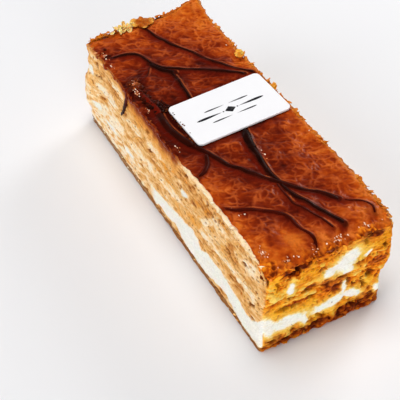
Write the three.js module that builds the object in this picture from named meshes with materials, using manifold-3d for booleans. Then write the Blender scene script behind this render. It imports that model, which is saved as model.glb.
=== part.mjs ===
// A slice of mille-feuille. Three sheets of puff pastry hold two beds of pastry cream. The bar is
// cut square, its top sheet is glazed with caramel and trailed with thin chocolate strands, and a
// plain white plaque lies across it. Millimetres, +Z up, long side along X. Each layer is a solid
// that runs right through the slice, and touching pieces keep a small gap.
import * as THREE from "three";
import { mergeVertices } from "three/addons/utils/BufferGeometryUtils.js";
import Module from "manifold-3d";

const wasm = await Module();
wasm.setup();

// Driving dimensions of the bar.
const HEIGHT = 35.5; // to the glazed top, without strands and flakes
const CORNER = 1.5; // plan radius of the cut corners
const GAP = 0.35; // clearance between touching pieces

// Where each cut face stands at the plate and at the glaze, and the heights between which it
// changes. The knife slanted back up the front, and the upper part of the slice has slid back
// and towards the near end over the lower one.
const CUTS = {
  front: { low: -22.2, high: -20.1, from: 0, to: HEIGHT },
  back: { low: 20.2, high: 22.8, from: 12.5, to: 16.5 },
  near: { low: 62.5, high: 63.1, from: 19.5, to: 21.5 },
  far: { low: -62.8, high: -61.8, from: 19.5, to: 21.5 },
};

// Mean heights of the beds between the layers, at the long front side and further back. The front
// of the slice was pressed down by the knife, so the base is thin and the upper cream flat there.
const BASE_TOP = { front: 2.7, back: 5.4 };
const LOWER_CREAM_TOP = 10.4;
const MIDDLE_TOP = { front: 20.4, back: 18.9 };
const UPPER_CREAM = { front: 1.6, back: 6.2 }; // its thickness

// Plaque.
const PLAQUE = { x: -3.5, y: 4.6, sizeX: 21.4, sizeY: 34.2, thick: 0.8, corner: 1.8, turn: 2 };

// Points round each ring of a layer.
const LONG_STEPS = 30;
const SHORT_STEPS = 10;
const CORNER_STEPS = 3;

// Smooth repeatable unevenness between -1 and 1: three crossing waves steered by a seed.
function uneven(x, y, wavelength, seed) {
  let sum = 0;
  for (let k = 1; k <= 3; k++) {
    const heading = 2.4 * seed + 2.1 * k;
    const travel = x * Math.cos(heading) + y * Math.sin(heading);
    sum += Math.sin((travel * (1.5 + 0.5 * k) * Math.PI) / wavelength + 5.3 * seed + 1.7 * k);
  }
  return sum / 3;
}

const smooth = (low, high, x) => THREE.MathUtils.smoothstep(x, low, high);

// The middle and the half sizes of the slice in plan at one height.
function planAt(z) {
  const [front, back, near, far] = [CUTS.front, CUTS.back, CUTS.near, CUTS.far].map(
    ({ low, high, from, to }) => THREE.MathUtils.lerp(low, high, smooth(from, to, z)),
  );
  return {
    middle: new THREE.Vector2((far + near) / 2, (front + back) / 2),
    half: new THREE.Vector2((near - far) / 2, (back - front) / 2),
  };
}

// How crumbly a cut is at a place in plan: the short ends are torn, the long sides cut clean.
const torn = (x) => smooth(53, 60, Math.abs(x));

// How near a place in plan is to a far corner of the top sheet: 1 there, 0 from reach away.
const farCorner = (x, y, side, reach) =>
  Math.max(0, 1 - Math.hypot(x - CUTS.far.high, y - side.high) / reach) ** 1.5;

// 1 under the plaque, falling to 0 a little outside it: the glaze lies flat there.
function underPlaque(x, y) {
  const fromX = Math.abs(x - PLAQUE.x) - PLAQUE.sizeX / 2;
  const fromY = Math.abs(y - PLAQUE.y) - PLAQUE.sizeY / 2;
  return 1 - smooth(1, 4, Math.max(fromX, fromY));
}

// A measure that changes smoothly from the long front side to the back half of the slice.
const frontToBack = ({ front, back }, y) =>
  THREE.MathUtils.lerp(front, back, smooth(CUTS.front.low - 1, 2, y));

// Heights of the beds and of the glazed top, as functions of the place in plan.
const floorHeight = () => 0;
const baseTop = (x, y) => frontToBack(BASE_TOP, y) + 0.35 * uneven(x, y, 26, 1);
const lowerCreamTop = (x, y) => LOWER_CREAM_TOP + 0.5 * uneven(x, y, 24, 2);
const middleTop = (x, y) => frontToBack(MIDDLE_TOP, y) + 0.35 * uneven(x, y, 28, 3);
const upperCreamTop = (x, y) => middleTop(x, y) + frontToBack(UPPER_CREAM, y);

// The sheet curls up at its back far corner, droops at its front far one, and is rubbed off round
// at its near end.
function glazeTop(x, y) {
  const curl = 2.5 * farCorner(x, y, CUTS.back, 15);
  const droop = 1.2 * farCorner(x, y, CUTS.front, 15);
  const bumps = 0.4 * uneven(x, y, 17, 4) + 0.2 * uneven(x, y, 8, 5);
  const rubbed = 1.6 * smooth(57, 63.5, x);
  return HEIGHT + bumps * (1 - underPlaque(x, y)) + curl - droop - rubbed;
}

// One ring of a layer seen from above: a rounded rectangle run anticlockwise. Every ring has the
// same number of points, so rings of any size can be joined.
function ring(halfX, halfY, radius) {
  const centres = [[-1, -1], [1, -1], [1, 1], [-1, 1]];
  const middle = ([sx, sy]) => new THREE.Vector2(sx * (halfX - radius), sy * (halfY - radius));
  const points = [];
  for (let side = 0; side < 4; side++) {
    const from = middle(centres[side]);
    const to = middle(centres[(side + 1) % 4]);
    const facing = (side - 1) * (Math.PI / 2);
    const steps = side % 2 ? SHORT_STEPS : LONG_STEPS;
    for (let i = 0; i < steps; i++) {
      const normal = new THREE.Vector2(Math.cos(facing), Math.sin(facing));
      const place = from.clone().lerp(to, i / steps).addScaledVector(normal, radius);
      points.push({ place, normal });
    }
    for (let i = 0; i < CORNER_STEPS; i++) {
      const angle = facing + ((i / CORNER_STEPS) * Math.PI) / 2;
      const normal = new THREE.Vector2(Math.cos(angle), Math.sin(angle));
      points.push({ place: to.clone().addScaledVector(normal, radius), normal });
    }
  }
  return points;
}

// Joins a stack of rings into one closed surface, from the middle of its underside, up its wall,
// to the middle of its top.
function loft(rings) {
  const count = rings[0].length;
  const vertices = rings.flat();
  const faces = [];
  for (let r = 0; r + 1 < rings.length; r++) {
    for (let i = 0; i < count; i++) {
      const j = (i + 1) % count;
      const [a, b] = [r * count + i, r * count + j];
      const [c, d] = [a + count, b + count];
      faces.push(a, b, d, a, d, c);
    }
  }
  const lid = (r, up) => {
    const flat = rings[r].map((v) => new THREE.Vector2(v.x, v.y));
    for (const [a, b, c] of THREE.ShapeUtils.triangulateShape(flat, [])) {
      const start = r * count;
      faces.push(...(up ? [start + a, start + b, start + c] : [start + a, start + c, start + b]));
    }
  };
  lid(0, false);
  lid(rings.length - 1, true);
  const geometry = new THREE.BufferGeometry().setFromPoints(vertices);
  geometry.setIndex(faces);
  return geometry;
}

// A layer between two beds. wall lists its courses from bottom to top: share is the height up the
// layer, and out(x, y) is how far that course stands out of the cut face.
function layer({ bottom, top, seed, wall, insets = [7, 2.6], topInsets = insets }) {
  const flatRing = (inset, height) => {
    const { middle, half } = planAt(height(0, 0));
    const radius = Math.max(CORNER - inset, 0.3);
    return ring(half.x - inset, half.y - inset, radius).map(({ place }) => {
      const { x, y } = place.add(middle);
      return new THREE.Vector3(x, y, height(x, y));
    });
  };
  const course = ({ share, out }) => {
    const { middle, half } = planAt(THREE.MathUtils.lerp(bottom(0, 0), top(0, 0), share));
    return ring(half.x, half.y, CORNER).map(({ place, normal }) => {
      const { x, y } = place.add(middle);
      const wander = 0.35 * uneven(x, y, 30, seed) * (1 + torn(x)) - 0.2;
      const edge = place.clone().addScaledVector(normal, wander + out(x, y));
      const low = bottom(edge.x, edge.y);
      const high = top(edge.x, edge.y);
      const sag = 0.3 * Math.sin(Math.PI * share) * uneven(x, y, 14, seed + 3 * share);
      return new THREE.Vector3(edge.x, edge.y, THREE.MathUtils.lerp(low, high, share) + sag);
    });
  };
  return loft([
    ...insets.map((inset) => flatRing(inset, bottom)),
    ...wall.map(course),
    ...[...topInsets].reverse().map((inset) => flatRing(inset, top)),
  ]);
}

// Courses of a pastry wall: each leaf of the sheet stands out of the cut, with a groove between.
function leaves(count, seed) {
  return Array.from({ length: 2 * count + 1 }, (_, k) => ({
    share: k / (2 * count),
    out: (x, y) => {
      const tear = 1 + 1.1 * torn(x);
      const ragged = 0.32 * tear * uneven(x, y, 7, seed + 0.9 * k);
      return ragged + (k % 2 ? 0.25 : -0.3) * tear;
    },
  }));
}

// Courses of a cream wall: pressed out softly between the sheets above and below.
function bulge(depth, seed) {
  return [0, 0.25, 0.75, 1].map((share) => ({
    share,
    out: (x, y) => depth * Math.sin(Math.PI * share) - 0.25 + 0.25 * uneven(x, y, 11, seed),
  }));
}

// manifold-3d works on merged vertices, and a BufferGeometry is made again from its result.
function solid(geometry) {
  const bare = new THREE.BufferGeometry();
  bare.setAttribute("position", geometry.getAttribute("position"));
  if (geometry.index) bare.setIndex(geometry.index);
  const merged = mergeVertices(bare, 1e-4);
  const vertProperties = new Float32Array(merged.getAttribute("position").array);
  const triVerts = new Uint32Array(merged.index.array);
  return new wasm.Manifold(new wasm.Mesh({ numProp: 3, vertProperties, triVerts }));
}

function geometryOf(manifold) {
  const { numProp, numVert, vertProperties, triVerts } = manifold.getMesh();
  const positions = new Float32Array(numVert * 3);
  for (let i = 0; i < numVert; i++) {
    positions.set(vertProperties.subarray(i * numProp, i * numProp + 3), 3 * i);
  }
  const geometry = new THREE.BufferGeometry();
  geometry.setAttribute("position", new THREE.BufferAttribute(positions, 3));
  geometry.setIndex(new THREE.BufferAttribute(triVerts, 1));
  return geometry;
}

// Chocolate strands trailed over the glaze, as plan points. They stop short of the plaque.
const THICK = 0.85;
const FINE = 0.6;
const STRANDS = [
  { radius: THICK, plan: [[-16.5, 20.4], [-27.5, 12], [-38, 8.3], [-49, 3.3], [-57, 0.6]] },
  { radius: THICK, plan: [[-16.8, 16.8], [-22.7, 9.8], [-32.5, -2.2], [-44, -8.6], [-48.2, -17]] },
  { radius: THICK, plan: [[-16, -2.4], [-23, -2.6], [-30, -2.8], [-36, -5]] },
  { radius: FINE, plan: [[-37.5, -7], [-33.5, -11], [-31, -15]] },
  { radius: 1.3, plan: [[-33, -16.4], [-27, -15.2], [-20.5, -15.4], [-14.5, -13.8]] },
  {
    radius: THICK,
    plan: [[-18, -15], [-7, -15.8], [3, -14.4], [14, -10.8], [24.5, -4.5], [34, 1.6], [48, 12.8]],
  },
  { radius: 1, plan: [[9.6, 3], [20, 1.4], [32, 1], [44, 4.4], [57.5, 8.6]] },
  { radius: FINE, plan: [[33, 0.6], [44, 0.6], [58, 5.4]] },
  { radius: FINE, plan: [[50.5, 14.2], [54, 18], [58, 19]] },
  { radius: FINE, plan: [[36, -17], [40, -10], [46.5, -4.4], [60, -2]] },
  { radius: FINE, plan: [[12.5, -12], [17, -14.6], [19, -17.5]] },
];
const DRIP = { x: -28.6, lean: -4.6, from: 35, to: 23.2, radius: 0.75 };

function strand(curve, radius, steps) {
  const sides = 6;
  const section = new THREE.Shape(
    Array.from({ length: sides }, (_, k) => {
      const angle = (k * 2 * Math.PI) / sides;
      return new THREE.Vector2(radius * Math.cos(angle), radius * Math.sin(angle));
    }),
  );
  return new THREE.ExtrudeGeometry(section, { steps, extrudePath: curve, bevelEnabled: false });
}

function glazeStrand({ radius, plan }) {
  const flat = new THREE.CatmullRomCurve3(plan.map(([x, y]) => new THREE.Vector3(x, y, 0)));
  const steps = Math.ceil(flat.getLength() / 5.5);
  const lifted = flat.getSpacedPoints(steps).map(({ x, y }) => {
    const along = glazeTop(x, y) + 0.15 * radius;
    return new THREE.Vector3(x, y, along);
  });
  return strand(new THREE.CatmullRomCurve3(lifted), radius, steps);
}

function drip() {
  const face = (z) => planAt(z).middle.y - planAt(z).half.y;
  const path = new THREE.LineCurve3(
    new THREE.Vector3(DRIP.x, face(DRIP.from) + 0.2, DRIP.from),
    new THREE.Vector3(DRIP.x + DRIP.lean, face(DRIP.to) + 0.1, DRIP.to),
  );
  return strand(path, DRIP.radius, 2);
}

// Loose leaves of pastry baked onto the top sheet: thin lenses, curled along their length.
const FLAKES = [
  { x: -60.2, y: -0.4, lift: 0.3, long: 4.5, wide: 3, curl: 1.2, yaw: 80, tilt: 12 },
  { x: -61.6, y: -7, lift: 0.1, long: 3, wide: 1.9, curl: 1, yaw: 115, tilt: 20 },
  { x: -26.5, y: 22, lift: 0.6, long: 2.6, wide: 1.5, curl: 1, yaw: 10, tilt: 24 },
  { x: -7.2, y: 22.6, lift: -0.6, long: 2.2, wide: 1.4, curl: 0.8, yaw: 35, tilt: 20 },
];

function flake({ x, y, lift, long, wide, curl, yaw, tilt }) {
  const thickness = 0.55;
  const lens = new THREE.SphereGeometry(1, 10, 6).scale(long, wide, thickness);
  const vertices = lens.getAttribute("position");
  for (let i = 0; i < vertices.count; i++) {
    const along = vertices.getX(i) / long;
    vertices.setZ(i, vertices.getZ(i) + curl * along * along);
  }
  lens.rotateX(THREE.MathUtils.degToRad(tilt)).rotateZ(THREE.MathUtils.degToRad(yaw));
  return lens.translate(x, y, glazeTop(x, y) + lift);
}

// The five layers, from the plate up.
function basePastry() {
  return layer({ bottom: floorHeight, top: baseTop, seed: 11, wall: leaves(2, 12) });
}

function lowerCream() {
  const bottom = (x, y) => baseTop(x, y) + GAP;
  return layer({ bottom, top: lowerCreamTop, seed: 21, wall: bulge(0.5, 22) });
}

function middlePastry() {
  const bottom = (x, y) => lowerCreamTop(x, y) + GAP;
  return layer({ bottom, top: middleTop, seed: 31, wall: leaves(4, 32) });
}

function upperCream() {
  const bottom = (x, y) => middleTop(x, y) + GAP;
  return layer({ bottom, top: upperCreamTop, seed: 41, wall: bulge(0.7, 42) });
}

function topPastry() {
  const bottom = (x, y) => upperCreamTop(x, y) + GAP;
  const topInsets = [17, 12.5, 8.5, 5, 2.2];
  const drawnOut = (x, y) => 2 * farCorner(x, y, CUTS.back, 9);
  const wall = leaves(5, 52).map(({ share, out }) => ({
    share,
    out: (x, y) => out(x, y) + share * drawnOut(x, y),
  }));
  const sheet = layer({ bottom, top: glazeTop, seed: 51, wall, topInsets });
  const pieces = [...STRANDS.map(glazeStrand), drip(), ...FLAKES.map(flake)];
  return geometryOf(pieces.reduce((whole, piece) => whole.add(solid(piece)), solid(sheet)));
}

function plaque() {
  const { sizeX, sizeY, thick, corner } = PLAQUE;
  const [halfX, halfY] = [sizeX / 2 - corner, sizeY / 2 - corner];
  const outline = new THREE.Shape();
  outline.absarc(halfX, -halfY, corner, -Math.PI / 2, 0);
  outline.absarc(halfX, halfY, corner, 0, Math.PI / 2);
  outline.absarc(-halfX, halfY, corner, Math.PI / 2, Math.PI);
  outline.absarc(-halfX, -halfY, corner, Math.PI, 1.5 * Math.PI);
  const settings = { depth: thick, bevelEnabled: false, curveSegments: 5 };
  return new THREE.ExtrudeGeometry(outline, settings);
}

function mesh(name, geometry, color, roughness) {
  const material = new THREE.MeshStandardMaterial({ color, roughness, metalness: 0 });
  const made = new THREE.Mesh(geometry, material);
  made.name = name;
  return made;
}

const slice = new THREE.Group();
slice.add(
  mesh("base_pastry", basePastry(), 0x9a5a22, 0.8),
  mesh("lower_cream", lowerCream(), 0xf2e6cc, 0.45),
  mesh("middle_pastry", middlePastry(), 0xd9a566, 0.75),
  mesh("upper_cream", upperCream(), 0xf4e9d2, 0.45),
  mesh("top_pastry", topPastry(), 0x8a3a10, 0.3),
);
const card = mesh("plaque", plaque(), 0xf7f4f6, 0.5);
card.position.set(PLAQUE.x, PLAQUE.y, HEIGHT + GAP);
card.rotation.z = THREE.MathUtils.degToRad(PLAQUE.turn);
slice.add(card);

// The origin is under the middle of the whole slice, on the surface that it stands on.
const bounds = new THREE.Box3().setFromObject(slice, true);
const middle = bounds.getCenter(new THREE.Vector3());
slice.position.set(-middle.x, -middle.y, -bounds.min.z);

export default slice;
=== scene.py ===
"""A slice of mille-feuille, dressed layer by layer from the table up."""
from math import ceil, cos, exp, hypot, pi, radians, sin

import bpy
import numpy as np
from mathutils import Matrix, Vector


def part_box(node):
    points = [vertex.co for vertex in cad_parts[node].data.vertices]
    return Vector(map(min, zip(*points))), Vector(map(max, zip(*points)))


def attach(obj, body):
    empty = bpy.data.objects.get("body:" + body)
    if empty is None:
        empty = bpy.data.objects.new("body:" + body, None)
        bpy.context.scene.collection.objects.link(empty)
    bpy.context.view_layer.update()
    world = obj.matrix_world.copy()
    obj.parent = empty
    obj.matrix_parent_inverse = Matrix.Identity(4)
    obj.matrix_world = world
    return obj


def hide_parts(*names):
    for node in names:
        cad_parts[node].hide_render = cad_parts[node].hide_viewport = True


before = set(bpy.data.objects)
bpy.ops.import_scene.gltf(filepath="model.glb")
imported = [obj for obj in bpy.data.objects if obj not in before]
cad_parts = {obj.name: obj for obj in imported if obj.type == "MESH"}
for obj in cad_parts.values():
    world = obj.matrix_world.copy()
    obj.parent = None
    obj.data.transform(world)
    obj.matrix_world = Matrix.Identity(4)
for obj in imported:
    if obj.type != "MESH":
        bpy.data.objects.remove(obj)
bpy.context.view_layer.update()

# ==== Viewpoint ===================================================================================
# The slice is seen from above its near front corner, through a long lens that keeps its sides almost
# parallel. All places below are millimetres in the slice's own axes: X along it, Y across it from
# the front side to the back, Z up from the table. They become the frame's metres at the very end.

MM = 0.001
HEIGHT = 35.5  # to the glazed top
GAP = 0.35  # between touching solids
PLAQUE_X = -3.5
PLAQUE_Y = 4.6

plaque_low, plaque_high = (np.array(corner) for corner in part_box("plaque"))
slice_origin = (plaque_low + plaque_high) / 2
slice_origin[2] = plaque_low[2]
slice_origin -= np.array([PLAQUE_X, PLAQUE_Y, HEIGHT + GAP]) * MM

VIEW_AZIMUTH = radians(65.1)
VIEW_ELEVATION = radians(44.75)
VIEW_ROLL = radians(-3.9)
VIEW_DISTANCE = 382.2
VIEW_ASIDE = -8.7
LENS = 100.8

back = Vector((
    sin(VIEW_AZIMUTH) * cos(VIEW_ELEVATION),
    -cos(VIEW_AZIMUTH) * cos(VIEW_ELEVATION),
    sin(VIEW_ELEVATION),
))
level = Vector((0, 0, 1)).cross(back).normalized()
upright = back.cross(level)
right = cos(VIEW_ROLL) * level + sin(VIEW_ROLL) * upright
up = cos(VIEW_ROLL) * upright - sin(VIEW_ROLL) * level


def add_object(name, data):
    """A new object of the scene, from its camera, lamp or mesh."""
    thing = bpy.data.objects.new(name, data)
    bpy.context.scene.collection.objects.link(thing)
    return thing


camera = add_object("camera", bpy.data.cameras.new("camera"))
camera.data.lens = LENS
camera.data.clip_start = 0.01
camera.matrix_world = Matrix.Translation(
    Vector(slice_origin) + (back * VIEW_DISTANCE + right * VIEW_ASIDE) * MM
) @ Matrix((right, up, back)).transposed().to_4x4()
bpy.context.scene.camera = camera
bpy.context.scene.view_settings.view_transform = "Standard"

# ==== Table and light =============================================================================
# A pale table between white walls under a dark ceiling, so that the glaze keeps its deep colour. A
# small lamp behind the far side alone draws the gloss on folds and strands. A large one overhead
# lights the top, and two soft ones light the front side and the near end.

TABLE_SIZE = 3000
TABLE_COLOUR = (0.81, 0.81, 0.825)
TABLE_ROUGHNESS = (0.58, 0.66)
TABLE_SHINE = 0.2
TABLE_DROP = 0.02  # below the slice, so that the two don't share a plane
WALL_COLOUR = (1, 0.99, 0.985, 1)
WALL_LIGHT = 0.42
CEILING_LIGHT = 0.03
WALL_TOP = (0.25, 0.60)  # the walls fade into the ceiling between these heights of a sight line


def settle(node, values):
    """Sets even values on a node's sockets."""
    for socket, value in values.items():
        node.inputs[socket].default_value = value


def start_finish(name, base_colour=(0.8, 0.8, 0.8), roughness=0.5):
    """A new material with the even values set on its shader. Returns it with its nodes and shader."""
    finish = bpy.data.materials.new(name)
    finish.use_nodes = True
    shader = finish.node_tree.nodes["Principled BSDF"]
    settle(shader, {"Base Color": (*base_colour, 1), "Roughness": roughness})
    return finish, finish.node_tree, shader


def grain(tree, scale, detail=3.0, stretch=(1, 1, 1)):
    """Fine noise fixed to the piece. scale is how many grains lie in a millimetre."""
    place = tree.nodes.new("ShaderNodeTexCoord")
    squeeze = tree.nodes.new("ShaderNodeMapping")
    settle(squeeze, {"Scale": stretch})
    noise = tree.nodes.new("ShaderNodeTexNoise")
    settle(noise, {"Scale": scale / MM, "Detail": detail})
    tree.links.new(place.outputs["Object"], squeeze.inputs["Vector"])
    tree.links.new(squeeze.outputs["Vector"], noise.inputs["Vector"])
    return noise.outputs["Fac"]


def ranged(tree, value, low, high, start=0.3, end=0.7):
    """Turns a value between start and end into one between low and high."""
    spread = tree.nodes.new("ShaderNodeMapRange")
    settle(spread, {"From Min": start, "From Max": end, "To Min": low, "To Max": high})
    tree.links.new(value, spread.inputs["Value"])
    return spread.outputs["Result"]


table_finish, tree, shader = start_finish("table_finish", TABLE_COLOUR, 0.6)
settle(shader, {"Specular IOR Level": TABLE_SHINE})
tree.links.new(ranged(tree, grain(tree, 0.05), *TABLE_ROUGHNESS), shader.inputs["Roughness"])

mesh = bpy.data.meshes.new("table")
reach = TABLE_SIZE * MM / 2
corners = [(-reach, -reach, 0), (reach, -reach, 0), (reach, reach, 0), (-reach, reach, 0)]
mesh.from_pydata(corners, [], [(0, 1, 2, 3)])
mesh.materials.append(table_finish)
table = add_object("table", mesh)
table.location.z = -TABLE_DROP * MM

room = bpy.data.worlds.new("room")
room.use_nodes = True
tree = room.node_tree
sight = tree.nodes.new("ShaderNodeTexCoord")
parted = tree.nodes.new("ShaderNodeSeparateXYZ")
tree.links.new(sight.outputs["Generated"], parted.inputs["Vector"])
strength = ranged(tree, parted.outputs["Z"], WALL_LIGHT, CEILING_LIGHT, *WALL_TOP)
tree.links.new(strength, tree.nodes["Background"].inputs["Strength"])
settle(tree.nodes["Background"], {"Color": WALL_COLOUR})
bpy.context.scene.world = room

# name, direction towards the light, distance, width, watts
LIGHTS = [
    ("far_side_light", (-0.45, 0.85, 0.55), 0.9, 0.36, 2.8),
    ("overhead_light", (-0.15, 0.02, 1.00), 1.8, 1.20, 21.0),
    ("front_light", (0.10, -1.00, 0.62), 1.8, 1.40, 14.2),
    ("end_light", (1.00, -0.15, 0.22), 2.0, 1.00, 15.2),
]
for name, towards, distance, width, watts in LIGHTS:
    lamp = bpy.data.lights.new(name, "AREA")
    lamp.shape = "DISK"
    lamp.size = width
    lamp.energy = watts
    light = add_object(name, lamp)
    light.visible_glossy = name == "far_side_light"
    towards = Vector(towards).normalized()
    light.location = towards * distance
    light.rotation_euler = towards.to_track_quat("Z", "Y").to_euler()

# ==== Base sheet ==================================================================================
# The sheet that the slice stands on is puff pastry, baked darkest and driest of the three. It was
# cut through with a knife on the long sides and torn at the short ends, and the slice's weight has
# pressed it thin along the front. Its colour is darkened both for that baking and as painted shade
# at the foot of the slice.

CORNER = 1.5  # plan radius of the cut corners
HALF_SIZE = np.array([62.5, 21.3])  # of the outline in plan that every layer starts from
# Where each cut face stands low down and high up, and the heights between which it changes. The
# knife slanted back up the front, and the upper part has slid back and along over the lower one.
CUTS = {
    "near": (62.5, 63.1, 19.5, 21.5),
    "back": (20.2, 22.8, 12.5, 16.5),
    "far": (-62.8, -61.8, 19.5, 21.5),
    "front": (-22.2, -20.1, 0, HEIGHT),
}
BASE_TOP = (2.7, 5.4)  # at the front side and in the back half
COLUMN = 0.30  # width of the finest relief along a cut
LEAF_PITCH = 0.85  # from one leaf of baked dough to the next


def uneven(x, y, wavelength, seed):
    """Long gentle unevenness between -1 and 1: three crossing waves steered by a seed."""
    total = 0
    for k in (1, 2, 3):
        heading = 2.4 * seed + 2.1 * k
        travel = x * cos(heading) + y * sin(heading)
        total = total + np.sin(travel * (1.5 + 0.5 * k) * pi / wavelength + 5.3 * seed + 1.7 * k)
    return total / 3


def smooth(low, high, value):
    """0 below low, 1 above high, and a soft rise between."""
    share = np.clip((value - low) / (high - low), 0, 1)
    return share * share * (3 - 2 * share)


def mixed_hash(seed, *cells):
    """A random whole number below 2^31 for each cell of a lattice."""
    mixed = seed * 374761393
    for cell, prime in zip(cells, (73856093, 19349663, 83492791)):
        mixed = mixed ^ (cell * prime)
    mixed = (mixed ^ (mixed >> 13)) * 1274126177 & 0x7FFFFFFF
    return mixed ^ (mixed >> 15)


def waver(x, y, z, seed):
    """Random relief between about -1 and 1 that turns once in each unit of x, y and z."""
    x, y, z = np.broadcast_arrays(x, y, z)
    cells = [np.floor(part).astype(np.int64) for part in (x, y, z)]
    within = [part - cell for part, cell in zip((x, y, z), cells)]
    rise = [part * part * part * (part * (part * 6 - 15) + 10) for part in within]
    total = np.zeros(x.shape)
    for corner in range(8):
        steps = (corner & 1, corner >> 1 & 1, corner >> 2 & 1)
        mixed = mixed_hash(seed, *(cell + step for cell, step in zip(cells, steps)))
        slope = weight = 0
        for axis, step in enumerate(steps):
            lean = (mixed >> (10 * axis) & 1023) / 511.5 - 1
            slope = slope + lean * (within[axis] - step)
            share = rise[axis] if step else 1 - rise[axis]
            weight = share if axis == 0 else weight * share
        total += slope * weight
    return total * 1.7


def knobs(x, y, z, wide, high, seed):
    """Random relief whose swells are so many millimetres wide in plan and so many high."""
    return waver(x / wide, y / wide, z / high, seed)


def swells(x, y, wide, seed):
    """Random relief of a level surface, with swells so many millimetres wide."""
    return waver(x / wide, y / wide, 0.5, seed)


def crumb_cells(x, y, z, size, seed, wall=0.45):
    """Open crumb: 0 in the middle of each hole, 1 on the walls between the holes. wall is how far
    a wall fades into the holes beside it."""
    x, y, z = np.broadcast_arrays(x / size, y / size, z / size)
    cells = [np.floor(part).astype(np.int64) for part in (x, y, z)]
    first, second = np.full(x.shape, 9.0), np.full(x.shape, 9.0)
    for corner in range(27):
        steps = (corner % 3 - 1, corner // 3 % 3 - 1, corner // 9 - 1)
        here = [cell + step for cell, step in zip(cells, steps)]
        mixed = mixed_hash(seed, *here)
        gap = 0
        for axis, (cell, part) in enumerate(zip(here, (x, y, z))):
            gap = gap + (cell + (mixed >> (10 * axis) & 1023) / 1023 - part) ** 2
        gap = np.sqrt(gap)
        second = np.minimum(second, np.maximum(first, gap))
        first = np.minimum(first, gap)
    return 1 - smooth(0.0, wall, second - first)


def front_to_back(pair, y):
    """A measure that changes smoothly from the front side to the back half of the slice."""
    front, rear = pair
    return front + (rear - front) * smooth(CUTS["front"][0] - 1, 2, y)


def cut_at(side, z):
    """Where one of the cut faces stands at a height."""
    low, high, start, end = CUTS[side]
    return low + (high - low) * smooth(start, end, z)


def drawn_to_cuts(x, y, z):
    """Moves places of the starting outline to where the cut faces stand at their heights."""
    near, rear, far, front = (cut_at(side, z) for side in CUTS)
    along = far + (near - far) * (1 + x / HALF_SIZE[0]) / 2
    return along, front + (rear - front) * (1 + y / HALF_SIZE[1]) / 2


def frayed(x, y, seed):
    """The small steps by which the line between two layers wanders on a cut."""
    return 0.35 * waver(x / 6, y / 6, 0, seed) + 0.18 * waver(x / 2.2, y / 2.2, 0, seed + 1)


def table_height(x, y):
    return 0 * x


def base_top(x, y):
    return front_to_back(BASE_TOP, y) + 0.35 * uneven(x, y, 26, 1) + frayed(x, y, 101)


def paint(red, green, blue):
    """A colour as it looks on a screen, 0 to 255."""
    return np.array([red, green, blue], float)


def mixed_paint(under, over, share):
    """under where share is 0, over where it is 1."""
    return under + (over - under) * np.asarray(share)[..., None]


def as_light(colour):
    """Screen colours as the amounts of light that a shader takes."""
    part = np.clip(colour, 0, 255) / 255
    return np.where(part <= 0.04045, part / 12.92, ((part + 0.055) / 1.055) ** 2.4)


def cut_outline():
    """Places and outward directions round the cut sides in plan, anticlockwise."""
    centres = np.array([[-1, -1], [1, -1], [1, 1], [-1, 1]]) * (HALF_SIZE - CORNER)
    places, facings = [], []
    for side in range(4):
        start, end = centres[side], centres[(side + 1) % 4]
        facing = (side - 1) * pi / 2
        steps = ceil(np.linalg.norm(end - start) / COLUMN)
        arc = ceil(CORNER * pi / 2 / COLUMN)
        share = np.arange(steps)[:, None] / steps
        outward = np.array([cos(facing), sin(facing)])
        places.append(start + (end - start) * share + CORNER * outward)
        facings.append(np.repeat(outward[None], steps, 0))
        angle = facing + np.arange(arc) / arc * pi / 2
        round_corner = np.stack([np.cos(angle), np.sin(angle)], -1)
        places.append(end + CORNER * round_corner)
        facings.append(round_corner)
    return np.vstack(places), np.vstack(facings)


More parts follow.
